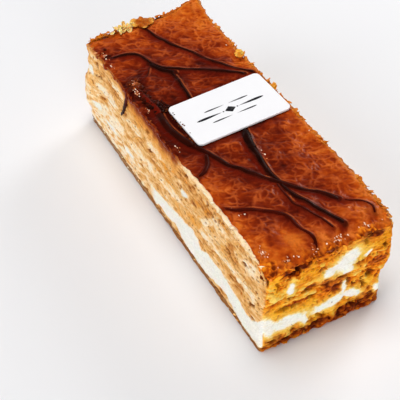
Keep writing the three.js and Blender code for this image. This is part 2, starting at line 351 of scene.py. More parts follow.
# What shows on the cut sides, by kind. Each mark is its place along the side, its height, its half
# length, its half height, and how much it climbs along the side.
FRONT_MARKS = {
    "cream": [
        (-55, 12.0, 4.5, 1.8, 0.2), (12.7, 23.9, 3.2, 1.4, 0.3), (-29, 9.7, 4.5, 1.2, 0.05),
        (-58.8, 25.3, 2.6, 2.0, -0.2), (-43, 10.4, 6.5, 1.0, 0.06),
    ],
    "film": [
        (-45.3, 22.5, 10, 1.8, 0.04), (-24.5, 23.5, 8, 1.7, 0.14), (-8, 25.9, 8, 1.6, 0.12),
        (28.2, 25.2, 5.2, 1.9, 0.7), (35.7, 29.0, 6.0, 2.0, 0.12), (50.2, 19.5, 10, 2.0, 0),
        (54.7, 29.2, 5.5, 2.6, 0.3), (-42.3, 14.4, 12, 3.2, 0.1), (-18.4, 15.2, 12, 2.4, 0.05),
        (3.1, 17.7, 9, 2.0, 0.1), (-35.4, 30.6, 8, 1.4, 0.1), (31, 18.1, 10, 1.6, 0.05),
    ],
    "shaded_hollow": [
        (-53.8, 30.2, 1.0, 1.6, -0.4), (-53.4, 25.8, 2.6, 0.5, 0.3), (-14.3, 29.2, 1.6, 1.0, 0.5),
        (-12.3, 22.5, 2.2, 0.7, 0.4), (14.2, 32.5, 1.5, 0.8, 0.6), (27.5, 31.9, 1.3, 1.1, -0.6),
        (42, 23.5, 2.4, 1.1, -0.7), (50.7, 27.8, 1.2, 1.0, 0.2), (56, 15.5, 1.9, 0.9, 0.9),
        (53.9, 33, 1.2, 0.7, 0), (21.4, 15.8, 1.2, 0.5, 0), (-23.9, 26, 1.2, 0.5, 0.2),
    ],
    "brown": [
        (-51, 9.2, 4, 0.9, 0.6), (-30.3, 15.6, 1.6, 1.5, -0.3), (-39.1, 27.9, 6, 1.4, 0.1),
        (-19.4, 30.2, 8, 1.8, 0.1), (14.5, 31.1, 8, 2.4, -0.2), (24.7, 29.3, 5, 2.2, 0.2),
        (47.3, 16.6, 6, 1.4, 0.2), (44.2, 25.3, 5, 3, -0.4), (6.8, 28.4, 6, 1.8, 0.1),
        (-7.4, 20.2, 6, 1.2, 0.1), (19.2, 25.8, 4, 2.2, 0.3), (-48.9, 17.7, 4, 1.0, 0.1),
        (-29.6, 31, 2.0, 3.4, 0), (-31.8, 26, 1.8, 3.0, 0),
    ],
}
NEAR_END_MARKS = {
    "cream": [
        (7.0, 26.0, 5.2, 4.7, 0.3), (2.6, 24.8, 4.4, 2.4, 0.3), (7.4, 22.4, 2.8, 2.4, 0),
        (-12.2, 24.4, 1.8, 2.7, 0.6), (14.3, 25.2, 1.3, 1.4, 0.6), (-13, 9.3, 8.2, 3.3, -0.02),
        (-19.6, 10.5, 2.8, 5.2, -0.5), (-7.2, 7.6, 1.6, 3.0, 0), (1.5, 9.6, 7.6, 2.2, 0.14),
        (6.6, 13.6, 0.9, 3.4, -0.15), (9.4, 9.6, 4.2, 2.0, -0.3), (19.2, 7.0, 1.7, 1.7, -0.3),
    ],
    "film": [
        (-11, 22.3, 10, 0.9, 0.03), (-18.6, 26, 1.2, 5.5, 0.4), (12, 18.2, 4.0, 0.9, -0.3),
        (-8, 18.0, 9, 0.8, 0.03), (17, 24.0, 2.4, 0.9, 0), (-5, 23.0, 4.5, 1.0, 0.1),
        (-15.6, 24.0, 3.2, 2.0, 0), (14.5, 12.5, 1.2, 2.8, 0.6), (-12.4, 4.6, 0.9, 2.4, 0.5),
        (-11.5, 25.0, 2.2, 4.2, 0.5), (14, 26, 2.4, 2.4, 0.4),
    ],
    "custard": [
        (-5, 28.2, 1.6, 4.2, -0.1), (11.6, 28.4, 3.0, 3.4, -0.3), (-5.4, 13.4, 3.6, 2.0, 0),
        (-5.6, 9.6, 1.3, 1.2, 0), (-17, 29, 1.2, 4.6, -0.5), (-13.5, 14.2, 5.5, 1.3, -0.1),
        (0, 5.0, 6.0, 1.2, 0.05), (8, 5.6, 4.5, 1.0, 0), (15.5, 11.5, 1.4, 2.6, 0), (17.5, 27, 2.5, 2.2, 0),
        (-17, 16, 2.5, 2.6, 0.2), (-8.6, 26, 1.4, 3.0, 0), (20, 29, 1.6, 4.0, 0.1),
    ],
    "shaded_hollow": [
        (-9.8, 31.2, 1.5, 1.2, -0.4), (-9.6, 20.0, 9.6, 0.7, 0.02), (-4.5, 16.3, 1.2, 1.1, 0.3),
        (-14.5, 15.7, 2.6, 0.6, -0.1), (-8.8, 15.4, 2.6, 0.5, -0.1), (14.0, 30.8, 0.9, 1.6, 0.3),
        (20.0, 25.8, 0.8, 1.6, 0), (15.6, 14.6, 1.6, 1.3, -0.2), (14.0, 11.2, 0.8, 1.6, 0),
        (-1, 5.0, 1.9, 0.7, -0.5), (8.5, 16.8, 1.0, 1.0, 0.2), (-19.6, 31.4, 0.7, 2.6, -0.8),
        (-17.6, 3.6, 1.2, 1.0, 0.3), (10.6, 4.0, 1.4, 0.7, 0), (-16.4, 27.6, 0.6, 2.0, -0.5),
    ],
    "brown": [
        (-7.7, 32, 2.6, 1.3, 0), (3.2, 18.6, 5.2, 4.2, 0.1), (5, 15.5, 4.2, 3.0, 0), (0, 1.9, 24, 1.9, 0),
        (-17, 4.0, 4.0, 2.4, 0), (12.5, 4.6, 6, 2.2, 0), (-4, 20.8, 4.2, 1.2, 0), (17.5, 20.5, 4, 2.4, 0),
        (-12, 30.8, 3.0, 1.4, -0.2), (17, 32, 3, 1.4, 0), (-9, 16.6, 7, 0.9, 0), (2, 33.6, 8, 1.0, 0),
    ],
}
BACK_MARKS = {
    "cream": [
        (-52, 22.4, 14, 2.2, 0.02), (-34, 21.6, 13, 1.5, -0.03), (-13, 22.8, 14, 2.6, 0.01),
        (7, 21.7, 13, 1.4, 0.02), (28, 22.6, 15, 2.3, -0.01), (50, 21.8, 14, 1.8, 0.03),
        (-40, 14.2, 5, 0.7, 0.05), (30, 15.4, 6, 0.7, 0.05), (8, 29.2, 6, 0.6, 0.1),
        (-50, 8.0, 16, 2.1, 0.01), (-30, 8.7, 14, 1.7, 0), (-10, 7.8, 15, 2.3, 0.01),
        (10, 8.6, 14, 1.6, 0), (30, 7.9, 16, 2.4, 0.01), (52, 8.4, 14, 1.8, 0),
    ],
    "shaded_hollow": [
        (-37, 27.6, 1.8, 1.0, 0.3), (-12, 17.2, 2.2, 0.7, 0), (9, 25.5, 1.4, 1.1, 0.4),
        (27, 29.4, 1.9, 0.8, -0.3), (51, 14.2, 2.2, 1.0, 0.2), (-55, 15.5, 1.6, 1.2, 0),
    ],
    "brown": [
        (-30, 31, 12, 1.6, 0), (16, 31.4, 14, 1.6, 0), (-8, 13.6, 9, 1.6, 0.05), (36, 17.6, 8, 1.2, 0),
        (-50, 28, 7, 1.6, 0),
    ],
}
FAR_END_MARKS = {
    "cream": [
        (-13, 22.4, 8, 2.0, 0.1), (-2, 23.2, 8, 3.0, -0.08), (9, 22.0, 8, 1.6, 0.05),
        (17, 23.0, 5, 2.4, 0.15), (-16, 8.2, 8, 2.0, 0.05), (-5, 8.8, 9, 1.6, 0), (6, 7.9, 9, 2.4, 0),
        (16, 8.5, 8, 1.7, 0), (-4, 12.2, 0.9, 2.8, 0.3),
    ],
    "custard": [(-3, 27.2, 4, 2.0, 0), (13, 26, 4, 1.6, -0.2), (-8, 12, 5, 1.0, 0), (11, 11.4, 5, 0.9, 0)],
    "shaded_hollow": [
        (-14, 29.8, 2.4, 1.3, 0.2), (2, 31, 2.2, 1.2, -0.2), (10, 16.4, 2.6, 1.1, 0), (-9, 16, 2.0, 1.2, 0.2),
        (0, 19.6, 5.5, 0.7, 0), (-2, 4.6, 2.0, 1.0, 0), (15, 30.6, 1.2, 1.8, 0), (17, 14, 1.3, 1.6, 0),
    ],
    "brown": [(0, 17, 9, 2.8, 0), (0, 2.4, 20, 2.2, 0), (0, 34.4, 24, 1.4, 0), (-15, 26, 4, 2.2, 0)],
}
CREAM_BAND = {  # the clean lower cream along the front: place, lower edge, upper edge
    "x": [-24, -10.5, -8, -6, 0, 6.5, 8, 11.5, 15, 19, 22.4, 25, 28.3, 36.7, 41.7, 47.7, 54, 58, 63],
    "low": [5, 4.4, 2.2, 4.2, 4.3, 5.6, 5.8, 3.8, 3.0, 2.6, 2.6, 2.7, 2.8, 5.0, 5.8, 3.0, 2.0, 2.2, 2.4],
    "high": [
        7, 9.4, 9.6, 9.8, 10.5, 11.5, 11.8, 12.4, 12.9, 13.6, 12.6, 10.1, 12.2, 12.6, 12.4, 11, 9.2, 10, 15.6,
    ],
}
MARK_SEEDS = {"cream": 40, "shaded_hollow": 60, "brown": 80, "film": 90, "custard": 100}  # for their random edges


def marked(along, z, marks, seed, fade):
    """Share of one kind of mark at each place of a side. fade gives how far outside its edge it starts
    and how far inside it is full, in parts of its half size."""
    bent_along = along + 0.8 * waver(along / 3.5, z / 2.5, 0.5, seed)
    bent_along += 0.4 * waver(along / 1.1, z / 0.8, 0.5, seed + 1)
    bent_z = z + 0.5 * waver(along / 3.5, z / 2.2, 0.5, seed + 2)
    bent_z += 0.28 * waver(along / 1.1, z / 0.8, 0.5, seed + 3)
    deepest = np.full(along.shape, -9.0)
    for middle, height, half_length, half_height, slope in marks:
        across = bent_along - middle
        rise = bent_z - height - slope * across
        deepest = np.maximum(deepest, 1 - np.hypot(across / half_length, rise / half_height))
    return smooth(-fade[0], fade[1], deepest + 0.12 * waver(along / 0.6, z / 0.5, 0.5, seed + 4))


def marks_seen(kind, x, y, z, facing, fade=(0.12, 0.34)):
    """Share of one kind of mark on all four sides, each fading out round its corners."""
    sides = [
        (facing[:, 0], y, NEAR_END_MARKS), (facing[:, 1], x, BACK_MARKS),
        (-facing[:, 0], y, FAR_END_MARKS), (-facing[:, 1], x, FRONT_MARKS),
    ]
    total = np.zeros(x.shape)
    for k, (towards, along, marks) in enumerate(sides):
        faced = smooth(0.35, 0.75, towards)
        seen = faced > 0
        if kind in marks:
            share = marked(along[:, seen], z[:, seen], marks[kind], MARK_SEEDS[kind] + 5 * k, fade)
            total[:, seen] = np.maximum(total[:, seen], share * faced[seen])
    return total


def cream_seen(x, y, z, facing):
    """Share of bare cream: the smears on all sides, and the clean band along the front."""
    low = np.interp(x, CREAM_BAND["x"], CREAM_BAND["low"])
    high = np.interp(x, CREAM_BAND["x"], CREAM_BAND["high"])
    wander = 0.45 * waver(x / 3.5, z / 3, 0, 31) + 0.25 * waver(x / 1.2, z / 1.5, 0, 32)
    band = smooth(-0.5, 0.6, z + wander - low) * smooth(-0.3, 0.5, high + wander - z)
    band = band * smooth(-16, -6, x + 5 * wander) * smooth(0.25, 0.6, -facing[:, 1])
    return np.maximum(band, marks_seen("cream", x, y, z, facing, (0.3, 0.5)))


def leaves(x, y, z, seed):
    """The leaves of baked dough met on a cut: how far each reaches out, its fullness from 0 at its
    skins to 1 midway, how wide it gapes from the next, and how dark it is."""
    level = z / LEAF_PITCH + 0.9 * knobs(x, y, z, 15, 8, seed)
    level = level + 0.35 * knobs(x, y, z, 4, 3, seed + 1)
    leaf, gap = np.floor(level), np.floor(level + 0.5)
    reach = waver(x / 4.5, y / 4.5, 7.3 * leaf + 0.4, seed + 2)
    full = np.sqrt(np.clip(1 - (2 * (level - leaf) - 1) ** 2, 0, 1))
    gape = smooth(0.05, 0.5, waver(x / 4.5, y / 4.5, 5.7 * gap + 0.3, seed + 3))
    shade = waver(x / 8, y / 8, 3.1 * leaf + 0.6, seed + 4)
    return reach, full, gape, shade


SIDE_TONES = [-1.0, -0.6, -0.25, 0.1, 0.45, 0.9]
SIDE_PAINTS = np.array([
    paint(128, 66, 22), paint(190, 116, 48), paint(221, 157, 82), paint(238, 184, 114),
    paint(250, 213, 160), paint(253, 235, 206),
])
SIDE_GOLD = paint(236, 154, 52)
END_TONES = [-1.2, -0.75, -0.3, 0.1, 0.55, 1.1]
END_PAINTS = np.array([
    paint(88, 26, 4), paint(154, 60, 10), paint(214, 104, 14), paint(244, 142, 24),
    paint(254, 178, 50), paint(255, 216, 108),
])
PIT_BROWN_AND_SHADE = paint(146, 80, 32)
HOLLOW_PAINTED_SHADE = paint(78, 22, 3)
CUSTARD = paint(255, 182, 26)
CREAM_PAINT = paint(255, 252, 240)
CREAM_STAIN_AND_SHADE = paint(251, 238, 206)
FRONT_CREAM_SHADED = paint(243, 241, 232)
SIDE_CREAM_EDGE = paint(246, 220, 174)
END_CREAM_EDGE = paint(255, 206, 90)
CARAMEL_SOAK = paint(118, 36, 8)
GOLD_SOAK = paint(234, 154, 62)
BROWNED_AND_SHADED = paint(0.52, 0.38, 0.26)  # what dark baking and painted shade at the slice's foot leave of each part of a colour
KNIFE_CLIMB = 0.14  # how much the knife's strokes climb along the front side


def toned(tone, tones, paints):
    """The paint for each tone, along a scale from dark to light."""
    return np.stack([np.interp(tone, tones, paints[:, part]) for part in range(3)], -1)


def sliced_face(x, y, z, met, marks, seed):
    """Relief and paint of a long side: leaves pressed together by the knife, wiped over in places
    with a film of cream, and open with small pits where it dragged. The gaps between leaves and the
    hollows are painted darker as painted shade, and the pits browner, partly the crumb's own colour
    and partly painted shade. met holds its leaves, and marks its hollows, brown marks and films."""
    reach, full, gape, shade = met
    shaded_hollow, brown, film = marks
    bent = z - KNIFE_CLIMB * x + 0.8 * knobs(x, y, z, 8, 6, seed + 10)
    stroke = knobs(x, y, bent, 4.5, 0.6, seed + 11) + 0.5 * knobs(x, y, bent, 2.2, 0.35, seed + 19)
    speck = knobs(x, y, z, 0.9, 0.7, seed + 12)
    broad = knobs(x, y, z, 9, 5, seed + 13)
    blotch = knobs(x, y, bent, 3.2, 1.5, seed + 14)
    lumpy = knobs(x, y, bent, 1.9, 1.1, seed + 15)
    crowded = 0.16 * smooth(-15, 35, x) + 0.25 * knobs(x, y, z, 7, 4, seed + 16)
    pit = smooth(0.52, 0.85, crowded + knobs(x, y, bent, 1.4, 0.8, seed + 17))
    out = 0.12 * reach + 0.06 * full + 0.20 * broad + 0.20 * blotch + 0.12 * lumpy + 0.05 * stroke
    out = out + 0.08 * film - 0.22 * gape * (1 - full) - 0.30 * pit - 0.9 * shaded_hollow

    tone = 0.20 * shade + 0.34 * stroke + 0.26 * speck + 0.36 * blotch + 0.28 * lumpy + 0.25 * broad
    # Painted shade: darker in the gaps between leaves.
    tone = tone + 0.60 * film - 0.45 * brown - 0.35 * gape * (1 - full) + 0.08
    tone = tone + 0.30 * smooth(-10, -45, x) * smooth(26, 14, z) * (1 + blotch)
    tone = tone + 0.55 * smooth(0, -30, x) * smooth(14, 9, z) * smooth(-0.5, 0.5, blotch + stroke)
    colour = toned(tone, SIDE_TONES, SIDE_PAINTS)
    sunny = smooth(-30, -5, x) * smooth(50, 25, x) * smooth(13, 22, z) + 0.40
    golden = smooth(0.15, 0.6, 0.8 * knobs(x, y, z, 5, 3.2, seed + 18) + 0.4 * lumpy) * sunny
    colour = mixed_paint(colour, SIDE_GOLD, 0.65 * golden * (1 - film))
    # The hollows are painted dark as painted shade, and the pits browner, partly the crumb's colour and
    # partly painted shade.
    colour = mixed_paint(colour, SIDE_PAINTS[0], smooth(0.05, 0.7, shaded_hollow))
    return out, mixed_paint(colour, PIT_BROWN_AND_SHADE, np.maximum(0.8 * pit, 0.7 * smooth(0.5, 1, shaded_hollow)))


def torn_face(x, y, z, met, marks, seed):
    """Relief and paint of a short end: leaves torn off at different lengths over open crumb. The gaps
    between leaves, the holes of the open crumb and the hollows are painted darker as painted shade,
    and the pits darker, partly the crumb's own colour and partly painted shade.
    """
    reach, full, gape, shade = met
    shaded_hollow, brown, film = marks
    clump = knobs(x, y, z, 4.5, 3.6, seed + 21)
    knob = knobs(x, y, z, 2.0, 1.7, seed + 22)
    crumb = knobs(x, y, z, 0.9, 0.9, seed + 23)
    wall = crumb_cells(x + 0.6 * knob, y + 0.6 * clump, 1.1 * z, 2.5, seed + 24)
    open_crumb = smooth(0.0, 0.5, knobs(x, y, z, 6, 4, seed + 25))
    fleck = knobs(x, y, z, 1.1, 0.9, seed + 26) + 0.4 * knobs(x, y, z, 0.6, 0.5, seed + 27)
    pit = smooth(0.34, 0.62, fleck)
    out = 0.65 * clump + 0.45 * reach + 0.18 * full + 0.38 * knob + 0.14 * crumb - 0.35 * pit
    out = out - 0.45 * gape * (1 - full) - 0.7 * open_crumb * (1 - wall) - 1.8 * shaded_hollow

    tone = 0.25 * shade + 0.65 * knob + 0.45 * crumb + 0.35 * clump + 0.35 * reach - 0.30 * fleck
    # Painted shade: darker in the holes of the open crumb.
    tone = tone + 0.45 * (wall - 0.4) * open_crumb - 0.7 * open_crumb * (1 - wall) ** 2 + 0.14
    # Painted shade: darker in the gaps between leaves.
    tone = tone - 0.65 * gape * (1 - full) - 0.85 * brown + 0.70 * film
    tone = tone - 0.55 * smooth(28, 32, z + 1.2 * clump)
    colour = toned(tone, END_TONES, END_PAINTS)
    # The pits are painted darker, partly the crumb's colour and partly painted shade; the hollows are painted
    # dark as painted shade.
    colour = mixed_paint(colour, END_PAINTS[0], 0.8 * pit * (1 - film))
    return out, mixed_paint(colour, HOLLOW_PAINTED_SHADE, 0.9 * smooth(0.1, 0.8, shaded_hollow))


def cream_face(x, y, z, seed):
    """Relief and paint of bare cream: soft swells, thin stains where crumb was dragged over it, and
    painted shade in the dips between the swells.
    """
    swell = knobs(x, y, z, 5, 3, seed + 31)
    drag = knobs(x, y, z, 3.5, 0.8, seed + 32)
    out = 0.32 * swell + 0.07 * drag + 0.22
    # painted shade where the swells dip, and stains where crumb was dragged over
    return out, mixed_paint(CREAM_PAINT, CREAM_STAIN_AND_SHADE, smooth(0.1, 0.8, 0.6 * drag - 0.4 * swell))


def cut_face(x, y, z, facing, below_top, seed=0, browned=0.0):
    """Relief, paint and wetness of the cut sides. below_top is the depth under the glazed top."""
    end = smooth(0.45, 0.9, np.abs(facing[:, 0]))
    met = leaves(x, y, z, seed)
    marks = [marks_seen(kind, x, y, z, facing) for kind in ("shaded_hollow", "brown", "film")]
    side_out, side_colour = sliced_face(x, y, z, met, marks, seed)
    end_out, end_colour = torn_face(x, y, z, met, marks, seed)
    out = side_out + (end_out - side_out) * end
    front, rear = smooth(0.3, 0.7, -facing[:, 1]), smooth(0.3, 0.7, facing[:, 1])
    out = out + 0.5 * knobs(x, y, z, 2.6, 2, seed + 41) * smooth(30, 34, z) * (1 - front)
    sagged = smooth(-50, -61, x) * smooth(-10, -19, y) * smooth(5, 11, z)
    out = out + sagged * (0.7 + 1.1 * smooth(26, 21, z) + 0.5 * knobs(x, y, z, 3, 3, seed + 42))
    colour = mixed_paint(side_colour, end_colour, np.broadcast_to(end, x.shape))
    # The base sheet is painted darker, less on its ends: partly its darker baking, partly painted shade at
    # the foot of the slice.
    colour = mixed_paint(colour, colour * BROWNED_AND_SHADED, browned * (1 - 0.5 * end))

    custard = marks_seen("custard", x, y, z, facing, (0.5, 0.5))
    colour = mixed_paint(colour, CUSTARD, 0.6 * custard)
    soaked = marks_seen("cream", x, y, z, facing, (1.1, 0.2))
    colour = mixed_paint(colour, END_CREAM_EDGE, 0.6 * soaked * end * (1 + 0.4 * waver(x, y, z, 145)))
    cream = cream_seen(x, y, z, facing)
    cream_out, bare = cream_face(x, y, z, seed)
    out = out * (1 - 0.4 * custard)
    out = out + (cream_out - out) * 0.9 * cream
    rim = mixed_paint(SIDE_CREAM_EDGE, END_CREAM_EDGE, np.broadcast_to(end, x.shape))
    colour = mixed_paint(colour, rim, smooth(0, 0.5, cream))
    # Painted shade: bare cream on the front side is painted greyer than on the ends.
    bare = mixed_paint(bare, FRONT_CREAM_SHADED, 0.8 * front + 0 * x)
    colour = mixed_paint(colour, bare, smooth(0.3, 0.95, cream))

    scorched = smooth(-38, -28, x) * smooth(14, 4, x)
    run_down = 1 + 0.4 * swells(x, y, 5, 141) + 0.3 * swells(x, y, 1.5, 142)
    gold_run, caramel_run = (3.2 + 6.0 * scorched) * run_down, (1.8 + 3.8 * scorched) * run_down
    stained = np.maximum(smooth(13, 6, x) * (0.6 + 0.4 * scorched) * front, 0.45 * end) + 0.5 * rear
    stained = stained * (1 - 0.75 * cream) * (0.95 + 0.3 * knobs(x, y, z, 1.5, 2.5, 143))
    colour = mixed_paint(colour, GOLD_SOAK, 0.85 * smooth(gold_run, 0.5 * gold_run, below_top) * stained)
    colour = mixed_paint(colour, CARAMEL_SOAK, smooth(caramel_run, 0.2 * caramel_run, below_top) * stained)
    lip = smooth(9, 14, x) * front * smooth(1.5, 0.3, below_top + 0.9 * knobs(x, y, z, 3, 1, 144))
    colour = mixed_paint(colour, SIDE_PAINTS[5], 0.7 * lip)
    return out, colour, np.maximum(cream, 0.7 * custard)


def closed_faces(rows, columns):
    """Faces of a stack of rings, run from the lowest to the highest, with a lid at each end."""
    row = np.arange(rows - 1)[:, None] * columns
    here = np.arange(columns)[None]
    there = (here + 1) % columns
    walls = np.stack([row + here, row + there, row + columns + there, row + columns + here], -1)
    faces = walls.reshape(-1, 4).tolist()
    faces.append(list(range(columns))[::-1])
    faces.append(list(range((rows - 1) * columns, rows * columns)))
    return faces


def make_piece(name, points, faces, finish, colour=None, wet=None):
    """A mesh piece of the slice, from points in millimetres, that rides on the one body. Its lids,
    the faces with more than four corners, stay flat. wet is one share for all points or for each."""
    mesh = bpy.data.meshes.new(name)
    mesh.from_pydata((np.asarray(points) * MM + slice_origin).tolist(), [], faces)
    mesh.polygons.foreach_set("use_smooth", [len(face) <= 4 for face in faces])
    if colour is not None:
        layer = mesh.attributes.new("colour", "FLOAT_COLOR", "POINT")
        solid_colour = np.ones((len(points), 4))
        solid_colour[:, :3] = as_light(np.asarray(colour))
        layer.data.foreach_set("color", solid_colour.ravel())
    if wet is not None:
        layer = mesh.attributes.new("wet", "FLOAT", "POINT")
        layer.data.foreach_set("value", np.full(len(points), wet, float))
    mesh.materials.append(finish)
    piece = add_object(name, mesh)
    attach(piece, "root")
    return piece


def make_layer(name, below, above, courses, finish, lid=(), flare=None, **cut):
    """One layer of the slice: a closed solid between two beds, with relief on its cut sides. lid
    lists the rings that run in over its top: how far in, and how far under the top bed. The last
    of them is level, so that the lid is flat. flare gives how far its upper rim is drawn out."""
    place, facing = cut_outline()
    x, y = place.T
    share = np.linspace(0, 1, courses + 1)[:, None]
    z = below(x, y) + (above(x, y) - below(x, y)) * share
    x, y = drawn_to_cuts(x, y, z)
    out, colour, wet = cut_face(x, y, z, facing, HEIGHT - z, **cut)
    if flare:
        out = out + share * flare(x, y) * (1 - 0.7 * np.abs(facing[:, 1]))
    points = np.stack([x + out * facing[:, 0], y + out * facing[:, 1], z], -1)
    for k, (inset, drop) in enumerate(lid):
        ring = points[courses, :, :2] - inset * facing
        height = above(*ring.T) - drop
        if k == len(lid) - 1:
            height = np.full(len(ring), height.min())
        points = np.concatenate([points, np.column_stack([ring, height])[None]])
        colour = np.concatenate([colour, colour[-1:]])
        wet = np.concatenate([wet, wet[-1:]])
    faces = closed_faces(len(points), len(place))
    points, colour = points.reshape(-1, 3), colour.reshape(-1, 3)
    return make_piece(name, points, faces, finish, colour, wet.ravel())


VANILLA_SPACING = 0.26  # cells in a millimetre, with one seed in each
VANILLA_FADE = (0.045, 0.08)  # where a seed starts to fade and ends, in parts of its cell
VANILLA_BLACK = (0.08, 0.035, 0.015, 1)


def vanilla_specks(tree, colour):
    """Tiny scattered dark dots over a colour: seeds of the vanilla pod in the cream."""
    place = tree.nodes.new("ShaderNodeTexCoord")
    seeds = tree.nodes.new("ShaderNodeTexVoronoi")
    settle(seeds, {"Scale": VANILLA_SPACING / MM})
    tree.links.new(place.outputs["Object"], seeds.inputs["Vector"])
    dotted = tree.nodes.new("ShaderNodeMix")
    dotted.data_type = "RGBA"
    settle(dotted, {7: VANILLA_BLACK})
    tree.links.new(colour, dotted.inputs[6])
    shown = ranged(tree, seeds.outputs["Distance"], 0.85, 0, *VANILLA_FADE)
    tree.links.new(shown, dotted.inputs["Factor"])
    return dotted.outputs[2]


def painted_finish(name, dry, moist, grain_depth, glow=0.0, speckle=(0.86, 1.12), seeded=False,
                   shine=0.13, shine_tint=(1, 0.85, 0.6)):
    """Food whose colour follows its relief. dry and moist are the roughness of crumb and of cream."""
    finish, tree, shader = start_finish(name)
    colour = tree.nodes.new("ShaderNodeAttribute")
    colour.attribute_name = "colour"
    wet = tree.nodes.new("ShaderNodeAttribute")
    wet.attribute_name = "wet"
    tint = tree.nodes.new("ShaderNodeVectorMath")
    tint.operation = "SCALE"
    tree.links.new(colour.outputs["Color"], tint.inputs[0])
    tree.links.new(ranged(tree, grain(tree, 1.6, 4, (1, 1, 2.5)), *speckle), tint.inputs["Scale"])
    tint = vanilla_specks(tree, tint.outputs["Vector"]) if seeded else tint.outputs["Vector"]
    tree.links.new(tint, shader.inputs["Base Color"])
    tree.links.new(ranged(tree, wet.outputs["Fac"], dry, moist, 0, 1), shader.inputs["Roughness"])
    bump = tree.nodes.new("ShaderNodeBump")
    settle(bump, {"Distance": grain_depth * MM, "Strength": 0.7})
    tree.links.new(grain(tree, 2.2, 5, (1, 1, 1.8)), bump.inputs["Height"])
    tree.links.new(bump.outputs["Normal"], shader.inputs["Normal"])
    settle(shader, {
        "Subsurface Weight": glow, "Subsurface Radius": (1, 0.5, 0.25), "Subsurface Scale": 0.6 * MM,
        "Specular IOR Level": shine, "Specular Tint": (*shine_tint, 1),
    })
    return finish


pastry_finish = painted_finish(
    "pastry_finish", dry=0.72, moist=0.35, grain_depth=0.12, glow=0.15, seeded=True,
)
base_sheet = make_layer(
    "base_sheet", table_height, base_top, courses=18, finish=pastry_finish, seed=200, browned=0.7,
)
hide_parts("base_pastry")

# ==== Lower cream bed =============================================================================
# Vanilla pastry cream, piped thick over the base sheet and pressed flat by the sheet above. On the
# front side it shows as a clean white band towards the near end, and is wiped over with crumb
# towards the far one.

LOWER_CREAM_TOP = 10.4


def lower_cream_top(x, y):
    return LOWER_CREAM_TOP + 0.5 * uneven(x, y, 24, 2) + frayed(x, y, 111)


cream_finish = painted_finish(
    "cream_finish", dry=0.6, moist=0.32, grain_depth=0.05, glow=0.3, seeded=True,
)
lower_cream_bed = make_layer(
    "lower_cream_bed", base_top, lower_cream_top, courses=26, finish=cream_finish, seed=240,
)
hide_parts("lower_cream")

# ==== Middle sheet ================================================================================
# The middle sheet of puff pastry, soft and pale inside. It was baked flat between trays, laid on the
# lower cream and pressed down into it, a little lower at the back than along the front side.

MIDDLE_TOP = (20.4, 18.9)  # at the front side and in the back half


def middle_top(x, y):
    return front_to_back(MIDDLE_TOP, y) + 0.35 * uneven(x, y, 28, 3) + frayed(x, y, 121)


middle_sheet = make_layer(
    "middle_sheet", lower_cream_top, middle_top, courses=44, finish=pastry_finish, seed=240,
)
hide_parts("middle_pastry")

# ==== Upper cream bed =============================================================================
# The second bed of vanilla cream, piped over the middle sheet. It is thick towards the back. Along
# the front side the knife dragged it thin and wiped it over the pastry above and below.

UPPER_CREAM = (1.6, 6.2)  # its thickness at the front side and in the back half


def upper_cream_top(x, y):
    return middle_top(x, y) + front_to_back(UPPER_CREAM, y) + frayed(x, y, 131)


upper_cream_bed = make_layer(
    "upper_cream_bed", middle_top, upper_cream_top, courses=22, finish=cream_finish, seed=280,
)
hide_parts("upper_cream")

# ==== Top sheet ===================================================================================
# The top sheet of puff pastry. Its upper leaves are soaked with the caramel that was burnt onto it,
# which has also run down the front side from the far end to the middle. Its near end is rubbed off
# round.

PLAQUE_SIZE = np.array([21.4, 34.2])


def under_plaque(x, y):
    """1 under the plaque, falling to 0 a little outside it: the glaze lies flat there."""
    outside = np.maximum(
        np.abs(x - PLAQUE_X) - PLAQUE_SIZE[0] / 2, np.abs(y - PLAQUE_Y) - PLAQUE_SIZE[1] / 2
    )
    return 1 - smooth(1, 4, outside)


def far_corner(x, y, side, reach):
    """How near a place is to the far corner at the back or front side: 1 there, 0 from reach away."""
    away = np.hypot(x - CUTS["far"][1], y - CUTS[side][1]) / reach
    return np.maximum(0, 1 - away) ** 1.5


def drawn_corner(x, y):
    """How far the sheet's back far corner is drawn out."""
    return 2 * far_corner(x, y, "back", 9)


def glaze_top(x, y):
    curl = 2.5 * far_corner(x, y, "back", 15)
    droop = 1.2 * far_corner(x, y, "front", 15)
    bumps = 0.4 * uneven(x, y, 17, 4) + 0.2 * uneven(x, y, 8, 5)
    rubbed = (2.8 + 0.9 * waver(0, y / 5, 0, 301)) * smooth(56.5, 63.5, x)
    rubbed = rubbed + 1.6 * smooth(7, 0, np.hypot(x - CUTS["near"][1], y - CUTS["front"][1]))
    return HEIGHT + bumps * (1 - under_plaque(x, y)) + curl - droop - rubbed


def crust_top(x, y):
    return glaze_top(x, y) - 0.2


top_sheet = make_layer(
    "top_sheet", upper_cream_top, crust_top, courses=56, finish=pastry_finish, seed=280,
    lid=[(0.5, 0.05), (1.1, 0.2), (1.8, 0.5), (2.8, 1.2), (4.5, 2.2), (6, 2.6)], flare=drawn_corner,
)
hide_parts("top_pastry")

# ==== Caramel glaze ===============================================================================
# Sugar burnt onto the top sheet until it melted into a thin, glossy, red-brown skin. It wrinkled as
# it cooled, runs over the front edge at the far end, and stops short of it towards the near end,
# where a pale lip of pastry shows. Its colour holds painted light: painted highlights on the
# wrinkle crests and along one flank of each strand, and painted shade beside the crests, on the
# front side of each strand and round the plaque.

GLAZE_CELL = 0.25
GLAZE_THICK = 0.4
TUCKED = (0.99, 0.96, 1)  # the rim's lower edge, in parts of its upper one
UNDERSIDE = (0.95, 0.86, 1)  # the flat underside, in parts of the rim
RUN_ROWS = 6  # courses of the mesh where the glaze runs over the front edge
WRINKLE_TURN = (0.885, 0.46)  # cosine and sine of the way that crosses the wrinkles

